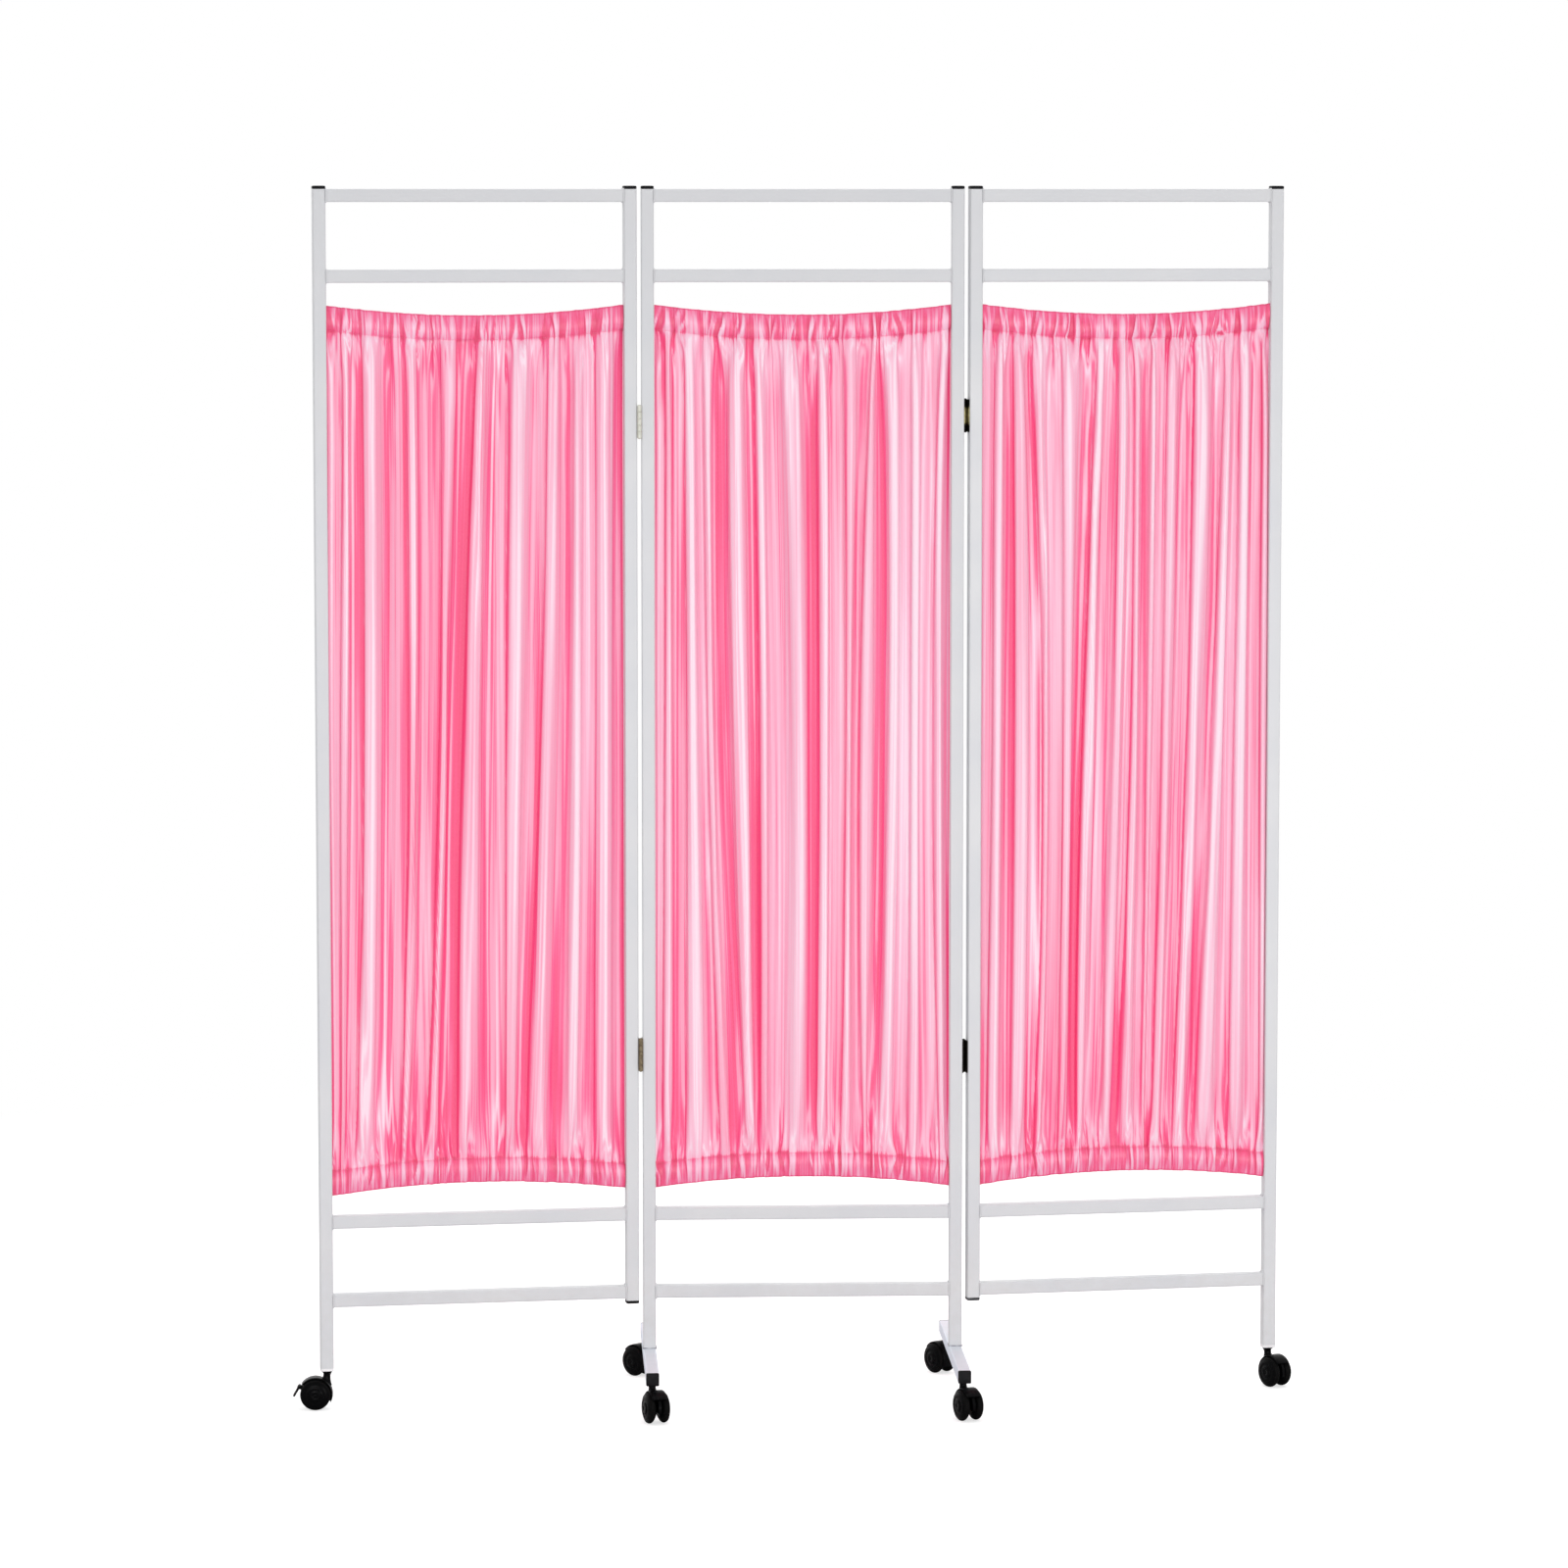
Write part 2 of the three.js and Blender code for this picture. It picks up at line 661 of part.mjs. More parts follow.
/** The middle panel: two stands on cross feet with four casters. */
function buildMiddlePanel() {
  const panel = new THREE.Group();
  buildPanelParts(panel, "middle", middleFoldShares);
  for (const [end, side] of [["left", -1], ["right", 1]]) {
    const stand = namedMesh(`middle_stand_${end}`, standGeometry(-side), whitePaint());
    stand.position.x = side * uprightPlace;
    panel.add(stand);
    for (const [face, direction] of [["front", -1], ["rear", 1]]) {
      const plug = namedMesh(`foot_plug_${end}_${face}`, plugGeometry(), blackPlastic());
      plug.rotation.x = (-direction * Math.PI) / 2;
      const reach = footLength / 2 + fitGap;
      plug.position.set(side * uprightPlace, direction * reach, seatHeight + tubeSide / 2);
      panel.add(plug);
    }
  }
  return panel;
}

/** The four casters under the cross feet, each with the heading it stands at. */
function buildFootCasters() {
  const casters = new THREE.Group();
  const headings = [
    ["caster_front_left", -1, -1, degToRad(-73)],
    ["caster_front_right", 1, -1, degToRad(-68)],
    ["caster_rear_left", -1, 1, degToRad(135)],
    ["caster_rear_right", 1, 1, degToRad(123)],
  ];
  for (const [name, side, end, heading] of headings) {
    const caster = buildCaster(name, heading);
    caster.position.set(side * uprightPlace, end * (footLength / 2 - stemInset), 0);
    casters.add(caster);
  }
  return casters;
}

/** A wing whose zero is its hinge pin; side is -1 on the left and 1 on the right. */
function buildWing(name, side, foldShares, caster) {
  const wing = new THREE.Group();
  const panel = new THREE.Group();
  panel.position.set(side * hingePlace, -side * pinOffset, 0);
  wing.add(panel);
  buildPanelParts(panel, name, foldShares);
  const outer = namedMesh(`${name}_leg_outer`, outerLegGeometry(-side), whitePaint());
  outer.position.x = side * uprightPlace;
  const inner = namedMesh(`${name}_leg_inner`, innerLegGeometry(side), whitePaint());
  inner.position.x = -side * uprightPlace;
  const lowerPlug = namedMesh(`${name}_plug_inner_bottom`, plugGeometry(), blackPlastic());
  lowerPlug.rotation.x = Math.PI;
  const legBottom = lowestRailHeight - tubeSide / 2 - innerLegOverhang;
  lowerPlug.position.set(-side * uprightPlace, 0, legBottom - fitGap);
  panel.add(outer, inner, lowerPlug);
  caster.position.x = side * uprightPlace;
  panel.add(caster);
  return wing;
}

/** The whole screen with its wings swung as they stand at rest. */
function buildScreen() {
  const screen = new THREE.Group();
  const middle = buildMiddlePanel();
  const leftCaster = buildCaster("caster_left_outer", Math.PI - leftSwing, true);
  const rightCaster = buildCaster("caster_right_outer", degToRad(-57) - rightSwing);
  const left = buildWing("left", -1, leftFoldShares, leftCaster);
  const right = buildWing("right", 1, rightFoldShares, rightCaster);
  const leftPin = { x: -hingePlace, y: -pinOffset };
  const rightPin = { x: hingePlace, y: pinOffset };
  addHinge(middle, left, "hinge_left_upper", leftPin, leftHingeHeights.upper, paintedHinge);
  addHinge(middle, left, "hinge_left_lower", leftPin, leftHingeHeights.lower, bronzeHinge);
  addHinge(middle, right, "hinge_right_upper", rightPin, rightHingeHeights.upper, brassHinge);
  addHinge(middle, right, "hinge_right_lower", rightPin, rightHingeHeights.lower, darkHinge);
  left.position.set(leftPin.x, leftPin.y, 0);
  left.rotation.z = leftSwing;
  right.position.set(rightPin.x, rightPin.y, 0);
  right.rotation.z = rightSwing;
  screen.add(middle, buildFootCasters(), left, right);
  return screen;
}

export default buildScreen();
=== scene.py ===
"""Dresses a folding ward screen on casters: enamelled tube frames, gathered satin curtains, hinges and wheels."""

import logging
import math
from collections.abc import Sequence
from dataclasses import dataclass, field
from enum import Enum
from typing import Any, ClassVar

import bpy
import numpy as np
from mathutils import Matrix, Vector


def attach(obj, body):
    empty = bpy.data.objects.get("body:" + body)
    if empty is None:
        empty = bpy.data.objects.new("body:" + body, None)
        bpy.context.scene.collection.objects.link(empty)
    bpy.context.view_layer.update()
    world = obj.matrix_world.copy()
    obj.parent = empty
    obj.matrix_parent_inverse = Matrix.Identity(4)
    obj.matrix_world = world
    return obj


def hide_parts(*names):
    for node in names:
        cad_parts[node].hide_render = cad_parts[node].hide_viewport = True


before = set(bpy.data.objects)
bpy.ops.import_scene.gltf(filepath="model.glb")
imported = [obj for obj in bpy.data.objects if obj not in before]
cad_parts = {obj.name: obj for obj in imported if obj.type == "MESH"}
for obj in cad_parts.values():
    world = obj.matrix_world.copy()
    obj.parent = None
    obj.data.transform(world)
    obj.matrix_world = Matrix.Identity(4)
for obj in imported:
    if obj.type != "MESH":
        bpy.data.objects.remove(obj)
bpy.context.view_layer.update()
LOG = logging.getLogger("screen")
FULL_TURN = 2 * math.pi
WHITE = (1.0, 1.0, 1.0, 1.0)
ENDS = (("left", -1), ("right", 1))
Array = np.ndarray
Mesh = bpy.types.Mesh
Pair = tuple[float, float]
Triple = tuple[float, float, float]


def colour(code: str) -> tuple[float, float, float, float]:
    """Turns six hexadecimal digits into the linear colour that shaders take."""
    parts = [int(code[k : k + 2], 16) / 255 for k in (0, 2, 4)]
    return (*(c / 12.92 if c <= 0.04045 else ((c + 0.055) / 1.055) ** 2.4 for c in parts), 1.0)


class Reading:
    """One output of a node, on which plain maths adds Math nodes."""

    def __init__(self, bench: "Bench", socket: bpy.types.NodeSocket) -> None:
        """Wraps a socket."""
        self.bench, self.socket = bench, socket

    def output(self, name: str) -> "Reading":
        """Another output of the same node."""
        return Reading(self.bench, self.socket.node.outputs[name])

    def maths(self, operation: str, *others: Any) -> "Reading":
        """Adds one Math node that starts from this value."""
        return self.bench.node("ShaderNodeMath", self, *others, operation=operation)

    def clipped(self, low: float, high: float) -> "Reading":
        """Spreads the values from low to high over nought to one, and holds the rest there."""
        return self.bench.node("ShaderNodeMapRange", Value=self, From_Min=low, From_Max=high, clamp=True)

    def __add__(self, other: Any) -> "Reading":
        """Sum."""
        return self.maths("ADD", other)

    def __sub__(self, other: Any) -> "Reading":
        """Difference."""
        return self.maths("SUBTRACT", other)

    def __rsub__(self, other: Any) -> "Reading":
        """Difference from a number."""
        return self.bench.node("ShaderNodeMath", other, self, operation="SUBTRACT")

    def __mul__(self, other: Any) -> "Reading":
        """Product."""
        return self.maths("MULTIPLY", other)

    __radd__, __rmul__ = __add__, __mul__


class Bench:
    """Adds nodes to one node tree and links them."""

    def __init__(self, tree: bpy.types.NodeTree) -> None:
        """Takes the tree to work on."""
        self.tree = tree

    def node(self, kind: str, *inputs: Any, **named: Any) -> Reading:
        """Adds a node, sets it up and feeds its inputs.

        Args:
            kind: The node's type.
            inputs: Values or readings for its first inputs.
            named: Properties in small letters, of which "stops" fills a colour ramp, and inputs with capitals.

        Returns:
            Its first enabled output.
        """
        node = self.tree.nodes.new(kind)
        for key, value in named.items():
            if key == "stops":
                ramp = node.color_ramp.elements
                while len(ramp) < len(value):
                    ramp.new(1)
                for stop, (place, code) in zip(ramp, value):
                    stop.position, stop.color = place, colour(code)
            elif key.islower():
                setattr(node, key, value)
        feeds = list(zip(node.inputs, inputs))
        for key, value in named.items():
            if not key.islower():
                name = key.replace("_", " ")
                feeds.append((next(s for s in node.inputs if s.name == name and s.enabled), value))
        for socket, value in feeds:
            if isinstance(value, Reading):
                self.tree.links.new(value.socket, socket)
            else:
                socket.default_value = value
        outputs = [s for s in node.outputs if s.enabled]
        return Reading(self, outputs[0] if outputs else None)

    def place(self) -> Reading:
        """The place on the object, in metres."""
        return self.node("ShaderNodeTexCoord").output("Object")

    def part(self, letter: str, vector: Reading | None = None) -> Reading:
        """One part of a vector, or else of the place on the object."""
        return self.node("ShaderNodeSeparateXYZ", vector or self.place()).output(letter)

    def attribute(self, name: str) -> Reading:
        """A number stored on the mesh."""
        return self.node("ShaderNodeAttribute", attribute_name=name).output("Fac")

    def seen(self) -> Reading:
        """One for the camera's rays, also past clear parts."""
        rays = self.node("ShaderNodeLightPath")
        return rays.output("Is Camera Ray").maths("MAXIMUM", rays.output("Is Transmission Ray"))

    def noise(self, scale: float, detail: float, vector: Reading | None = None) -> Reading:
        """Cloudy noise with a number of waves in each metre."""
        return self.node("ShaderNodeTexNoise", Vector=vector or self.place(), Scale=scale, Detail=detail)

    def layered(self, base: Any, *layers: tuple[Any, str]) -> Any:
        """A colour under coats of others.

        Args:
            base: The lowest colour, as hexadecimal digits or a reading.
            layers: How much of each colour lies on it, and that colour's digits.

        Returns:
            The mixed colour.
        """
        tint = colour(base) if isinstance(base, str) else base
        for factor, code in layers:
            tint = self.node("ShaderNodeMix", Factor=factor, A=tint, B=colour(code), data_type="RGBA")
        return tint

    def edges(self, radius: float) -> tuple[Reading, Reading]:
        """The normal softened over a radius in metres, and a mask that is one on edges."""
        soft = self.node("ShaderNodeBevel", Radius=radius, samples=4)
        flat = self.node("ShaderNodeNewGeometry").output("True Normal")
        along = self.node("ShaderNodeVectorMath", soft, flat, operation="DOT_PRODUCT").output("Value")
        return soft, (1 - along).clipped(0.02, 0.2)

    def bump(self, height: Reading, depth: float, **normal: Reading) -> Reading:
        """Raises the surface by a depth in metres."""
        return self.node("ShaderNodeBump", Height=height, Distance=depth, Strength=1.0, **normal)

    def principled(self, tint: Any, rough: Any, normal: Reading, **more: Any) -> Reading:
        """The shader of a surface with its relief."""
        return self.node("ShaderNodeBsdfPrincipled", Base_Color=tint, Roughness=rough, Normal=normal, **more)


@dataclass(frozen=True)
class Finish:
    """A surface finish that makes its material once."""

    name: str

    def material(self) -> bpy.types.Material:
        """The material, made at its first use."""
        made = bpy.data.materials.get(self.name)
        if made is None:
            made = bpy.data.materials.new(self.name)
            made.use_nodes = True
            made.node_tree.nodes.clear()
            bench = Bench(made.node_tree)
            bench.node("ShaderNodeOutputMaterial", Surface=self.surface(bench))
        return made

    def surface(self, bench: Bench) -> Reading:
        """The shader of the finish."""
        raise NotImplementedError


@dataclass(frozen=True)
class Enamel(Finish):
    """White powder coat with a fine orange peel, duller on its edges and near the floor, with painted shade high up.
    """

    collar_top: float = 0.0
    foot_top: float = 0.0
    grey_below: float = 0.0

    def surface(self, bench: Bench) -> Reading:
        """The coat, with a plastic collar, a foot painted whiter and bluer as if lit from above, or mottled grey below
        a height, where it has one.
        """
        height, cloud = bench.part("Z"), bench.noise(9, 3)
        soft, edge = bench.edges(0.0013)
        dust = (1 - height.clipped(0.05, 0.34)) * bench.noise(60, 4).clipped(0.38, 0.75) * 0.2
        rough = 0.34 + cloud * 0.12 + dust * 0.5
        layers = [
            (cloud.clipped(0.3, 0.7), "D4D5D9"),
            # painted shade: the coat darker high up, where less lamp light reaches
            (height.clipped(1.35, 1.75) * 0.5, "C8C9CC"),
            (edge * 0.25, "E8E8EB"),
            (dust, "B9B4AC"),
        ]
        if self.collar_top:
            collar = 1 - height.clipped(self.collar_top - 0.0001, self.collar_top + 0.0001)
            layers.append((collar, "F2F0F2"))
            rough = rough + collar * 0.15
        if self.foot_top:
            # painted light: the foot below its top painted whiter and bluer, as if lit from above
            layers.append((1 - height.clipped(self.foot_top - 0.0005, self.foot_top), "E0E8F3"))
        if self.grey_below:
            # mottled grey on the welds below this height
            grey = 1 - height.clipped(self.grey_below - 0.02, self.grey_below)
            layers.append((grey * bench.noise(90, 2).clipped(0.3, 0.55), "8E8E9A"))
        peel = bench.bump(bench.noise(750, 1) + bench.noise(160, 1) * 0.8, 0.00005, Normal=soft)
        return bench.principled(bench.layered("DADADC", *layers), rough, peel, Specular_IOR_Level=0.45)


@dataclass(frozen=True)
class Plastic(Finish):
    """Moulded plastic with a fine grain, shine on worn edges and dust on top."""

    base: str = "030304"
    worn: str = "18181C"
    roughness: float = 0.24
    shine: float = 0.055

    def surface(self, bench: Bench) -> Reading:
        """The moulded surface."""
        soft, edge = bench.edges(0.0006)
        cloud = bench.noise(70, 3)
        up = bench.part("Z", bench.node("ShaderNodeNewGeometry").output("Normal"))
        dust = up.clipped(0.3, 1.0) * bench.noise(420, 3).clipped(0.45, 0.8) * 0.1
        layers = (cloud.clipped(0.35, 0.7), "08080A"), (edge * cloud * 0.9, self.worn), (dust, "6E6A64")
        rough = self.roughness + cloud * 0.14 - edge * 0.12
        grain = bench.bump(bench.noise(2600, 1), 0.00003, Normal=soft)
        return bench.principled(bench.layered(self.base, *layers), rough, grain, Specular_IOR_Level=self.shine)


@dataclass(frozen=True)
class WheelRubber(Finish):
    """Black wheels: a scuffed matt tread round a smoother disc."""

    def surface(self, bench: Bench) -> Reading:
        """Tread and disc, told apart by the tread number on the mesh."""
        tread = bench.attribute("tread")
        scuff = bench.noise(900, 4).clipped(0.4, 0.75)
        tint = bench.layered("050506", (tread, "020203"), (tread * scuff * 0.2, "3A3835"))
        rough = 0.22 + tread * 0.24 + bench.noise(90, 3) * 0.12
        relief = bench.bump(bench.noise(1800, 2) * tread + bench.noise(300, 1) * 0.3, 0.00005)
        return bench.principled(tint, rough, relief, Specular_IOR_Level=0.05)


@dataclass(frozen=True)
class HingeMetal(Finish):
    """Hinge metal or paint that is rubbed bright on its edges and dull in between."""

    base: str
    rubbed: str
    dull: str
    metallic: float = 0.85
    roughness: float = 0.4
    middle: float = 0.0
    bright_half: float = 0.0

    def surface(self, bench: Bench) -> Reading:
        """The metal, darker past its bright middle where it has one."""
        soft, edge = bench.edges(0.0005)
        patina = bench.noise(240, 5)
        layers = [(patina.clipped(0.35, 0.7), self.dull), (edge * 0.6, self.rubbed)]
        if self.bright_half:
            off = (bench.part("Z") - self.middle).maths("ABSOLUTE") + bench.noise(180, 3) * 0.006
            layers.append((off.clipped(self.bright_half, self.bright_half + 0.005), "17130E"))
        tint, rough = bench.layered(self.base, *layers), self.roughness + patina * 0.25
        grain = bench.bump(bench.noise(1400, 3), 0.00003, Normal=soft)
        return bench.principled(tint, rough, grain, Metallic=self.metallic)


@dataclass(frozen=True)
class Satin(Finish):
    """Pink satin: fine threads, soft sheen, painted highlights on the folds and painted shade down in the furrows."""

    def surface(self, bench: Bench) -> Reading:
        """The cloth, with some light coming through it where it isn't doubled."""
        flat = bench.node("ShaderNodeUVMap", uv_map="cut")
        painted_streaks, painted_glints, threads, slubs = (
            bench.noise(1.0, 2, bench.node("ShaderNodeMapping", Vector=flat, Scale=(*waves, 1)))
            for waves in ((130, 1.4), (420, 1.9), (2600, 240), (420, 3600))
        )
        # painted light and shade: the tone painted on the mesh, with painted highlight streaks and glints
        depth = bench.attribute("fold") + (painted_streaks - 0.5) * 0.6 + (painted_glints - 0.5) * 0.4
        # the ramp paints deep pink for painted shade up to nearly white for painted highlights
        stops = [(0.1, "F0206C"), (0.21, "FF3880"), (0.28, "FF609A"), (0.33, "FF88B4")]
        stops += [(0.39, "FFB5D2"), (0.55, "FFCCE4"), (0.7, "FFDFF1"), (0.8, "FFF0FC")]
        tint = bench.layered(
            bench.node("ShaderNodeValToRGB", Fac=depth, stops=stops),
            (threads.clipped(0.3, 0.75) * 0.15, "FFD2E2"),
            (slubs.clipped(0.55, 0.85) * 0.1, "F2628F"),
        )
        cloth = bench.principled(
            tint,
            0.36 + threads * 0.12,
            bench.bump(threads * 0.7 + slubs * 0.3, 0.00006),
            IOR=1.7,
            Specular_IOR_Level=0.6,
            Sheen_Weight=0.12,
            Sheen_Roughness=0.35,
            Sheen_Tint=colour("FFE3EC"),
        )
        through = bench.node("ShaderNodeBsdfTranslucent", Color=colour("FF4E88"))
        share = (0.38 - depth.clipped(0.25, 0.75) * 0.22) * (1 - bench.attribute("hem") * 0.8)
        return bench.node("ShaderNodeMixShader", share, cloth, through)


@dataclass(frozen=True)
class Thread(Finish):
    """Sewing thread of the seams."""

    def surface(self, bench: Bench) -> Reading:
        """Twisted thread."""
        twist = bench.noise(3000, 2)
        tint = bench.layered("F0638F", (twist.clipped(0.35, 0.7), "FF9CBC"))
        return bench.principled(tint, 0.5, bench.bump(twist, 0.00005))


@dataclass(frozen=True)
class CoatedWire(Finish):
    """The plastic skin on the coiled curtain wires."""

    def surface(self, bench: Bench) -> Reading:
        """White skin with the coil's turns showing through."""
        bands = bench.node(
            "ShaderNodeTexWave", Vector=bench.place(), Scale=160.0, wave_type="BANDS", bands_direction="X"
        )
        turns = bands.output("Fac")
        tint = bench.layered("D8D8D4", (turns, "E6E6E2"))
        return bench.principled(tint, 0.35 + turns * 0.1, bench.bump(turns, 0.0001))


@dataclass(frozen=True)
class Backdrop(Finish):
    """The pale floor: white where the camera sees it, with the screen's shadow on it."""

    def surface(self, bench: Bench) -> Reading:
        """Plain for the light, and lifted to white for the camera."""
        plain = bench.node("ShaderNodeBsdfDiffuse", Color=colour("CFCFCF"))
        lift, white = (bench.node("ShaderNodeEmission", Color=WHITE, Strength=power) for power in (0.62, 1.0))
        near = bench.node("ShaderNodeAddShader", plain, lift)
        away = bench.node("ShaderNodeVectorMath", bench.place(), operation="LENGTH").output("Value")
        shown = bench.node("ShaderNodeMixShader", away.clipped(1.6, 3.2), near, white)
        return bench.node("ShaderNodeMixShader", bench.seen(), plain, shown)


ENAMEL = Enamel("white enamel")
ENAMEL_COLLAR = Enamel("white enamel and collar", collar_top=0.06141)
ENAMEL_STAND_LIT_FEET = Enamel("white enamel with painted light on the feet", foot_top=0.0767)
WELDS = Enamel("enamel on welds", grey_below=0.12)
HOOD_PLASTIC = Plastic("black caster plastic")
PLUG_PLASTIC = Plastic("black plug plastic", base="18181B", roughness=0.48, shine=0.12)
GREY_PLUG = Plastic("grey plug plastic", base="5E5E62", worn="77777C", roughness=0.5, shine=0.3)
WHEELS = WheelRubber("black wheels")
SATIN = Satin("pink satin")
THREAD = Thread("pink thread")
WIRE = CoatedWire("coated wire")
RIGHT_UPPER_HINGE = 1.463
HINGE_LOOKS = {
    "hinge_left_upper": (
        HingeMetal("cream painted hinge", "DCDDD2", "D2D2BC", "CDCEC0", metallic=0.1, roughness=0.42),
        "hinge_painted",
    ),
    "hinge_left_lower": (HingeMetal("bronze hinge", "8C8068", "B8A888", "685C48"), "hinge_bronze"),
    "hinge_right_upper": (
        HingeMetal(
            "brass hinge with dark ends", "BDB381", "DCD3A2", "9A9064", middle=RIGHT_UPPER_HINGE, bright_half=0.0115
        ),
        "hinge_brass",
    ),
    "hinge_right_lower": (
        # painted shade: a near-black copy of the hinge metal for the lower right hinge, whose knuckle sits back in the
        # shaded gap
        HingeMetal("hinge metal painted dark as shade", "1B140C", "4A3B25", "0F0B07", metallic=0.6, roughness=0.45),
        "hinge_dark",
    ),
}


@dataclass(frozen=True)
class Place:
    """Where a sub-assembly stands: an offset in its own frame, a turn about the vertical, then a shift."""

    shift: Pair = (0.0, 0.0)
    turn: float = 0.0
    offset: Pair = (0.0, 0.0)

    def world(self, points: Array) -> Array:
        """Points of the sub-assembly, as x, y and z, in the screen's frame."""
        x, y, z = np.moveaxis(np.asarray(points, float) + (*self.offset, 0.0), -1, 0)
        c, s = math.cos(self.turn), math.sin(self.turn)
        return np.stack([c * x - s * y + self.shift[0], s * x + c * y + self.shift[1], z], -1)

    def ways(self, directions: Array) -> Array:
        """Directions of the sub-assembly in the screen's frame."""
        return self.world(directions) - self.world(np.zeros((1, 3)))


PLUMB = Place()
SWINGS = {"left": math.radians(7.3), "right": math.radians(8.1)}
PLACES = {
    "middle": PLUMB,
    "left": Place((-0.2403, -0.0115), SWINGS["left"], (-0.2403, 0.0115)),
    "right": Place((0.2403, 0.0115), SWINGS["right"], (0.2403, -0.0115)),
}
BODIES = {"middle": "middle_panel", "left": "left_wing", "right": "right_wing"}


class Shell:
    """Lofted parts that become one mesh."""

    def __init__(self) -> None:
        """Starts empty."""
        self.corners: list[Array] = []
        self.faces: list[list[int]] = []
        self.marks: list[Array] = []

    def loft(self, rings: Array, marks: Array | None = None) -> None:
        """Joins equal rings of corners into a skin and caps its ends.

        Args:
            rings: Rings by corners by x, y and z, each turning left as seen against the way that they advance.
            marks: One number for each ring, kept as an attribute.
        """
        n, m = rings.shape[:2]
        grid = sum(map(len, self.corners)) + np.arange(n * m).reshape(n, m)
        beside = np.roll(grid, -1, 1)
        self.faces += np.stack([grid[:-1], beside[:-1], beside[1:], grid[1:]], -1).reshape(-1, 4).tolist()
        self.faces += [grid[0, ::-1].tolist(), grid[-1].tolist()]
        self.corners.append(rings.reshape(-1, 3))
        self.marks.append(np.repeat(np.zeros(n) if marks is None else marks, m))

    def mesh(self, name: str, place: Place = PLUMB, mark: str = "", sharp: float = 40.0) -> Mesh:
        """The mesh, smooth but for its sharp edges.

        Args:
            name: The mesh's name.
            place: Where it stands.
            mark: The attribute's name, where it keeps one.
            sharp: The least angle of a sharp edge, in degrees.

        Returns:
            The mesh in the screen's frame.
        """
        mesh = bpy.data.meshes.new(name)
        mesh.from_pydata(place.world(np.concatenate(self.corners)).tolist(), [], self.faces)
        if mark:
            mesh.attributes.new(mark, "FLOAT", "POINT").data.foreach_set("value", np.concatenate(self.marks))
        mesh.shade_smooth()
        mesh.set_sharp_from_angle(angle=math.radians(sharp))
        return mesh


def circle(sides: int) -> Array:
    """Corners on a circle of radius one, as x and y."""
    angle = np.arange(sides) * FULL_TURN / sides
    return np.stack([np.cos(angle), np.sin(angle)], -1)


def arc(middle: Pair, radius: float, angles: Sequence[float]) -> list[Pair]:
    """Points round a middle."""
    return [(middle[0] + radius * math.cos(a), middle[1] + radius * math.sin(a)) for a in angles]


def rounded_square(side: float, corner: float, steps: int = 6) -> Array:
    """Corners of a square with round corners, as x and y."""
    inset, points = side / 2 - corner, []
    for quarter, (sx, sy) in enumerate([(1, 1), (-1, 1), (-1, -1), (1, -1)]):
        angles = [math.pi / 2 * (quarter + k / (steps - 1)) for k in range(steps)]
        points += arc((sx * inset, sy * inset), corner, angles)
    return np.array(points)


def level(ring: Array, height: float) -> Array:
    """A flat ring at a height."""
    return np.column_stack([ring, np.full(len(ring), height)])


def turned(profile: Sequence[Pair], sides: int) -> Array:
    """Rings of a turned part about the vertical, from a profile of radius and height."""
    return np.stack([level(circle(sides) * r, z) for r, z in profile])


def across(points: Array) -> Array:
    """Lays the vertical along Y, so that a turned part has its axle across."""
    x, y, z = np.moveaxis(points, -1, 0)
    return np.stack([x, z, -y], -1)


def show(
    name: str,
    mesh: Mesh,
    finish: Finish,
    body: str,
    stands_for: Sequence[str] = (),
    rounding: float = 0.0,
) -> bpy.types.Object:
    """Puts a finished piece in the scene on its body and hides the solids that it replaces.

    Args:
        name: The piece's name.
        mesh: Its mesh, in the screen's frame.
        finish: Its finish.
        body: The body that it rides on.
        stands_for: The solids that it replaces.
        rounding: The width of its rounded edges, in metres.

    Returns:
        The piece.
    """
    piece = bpy.data.objects.new(name, mesh)
    bpy.context.scene.collection.objects.link(piece)
    if not mesh.materials:
        mesh.materials.append(finish.material())
    if rounding:
        bevel = piece.modifiers.new("rounding", "BEVEL")
        bevel.width, bevel.segments, bevel.limit_method = rounding, 2, "ANGLE"
        bevel.angle_limit, bevel.harden_normals = math.radians(40), True
    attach(piece, body)
    if stands_for:
        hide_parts(*stands_for)
    LOG.info("%s rides on %s", name, body)
    return piece


class Repeat(Enum):
    """What a geometry tree repeats along its path or on its points."""

    WELD = "weld bead"
    STITCH = "stitch"
    SCREW = "screw head"
    RIB = "grip rib"


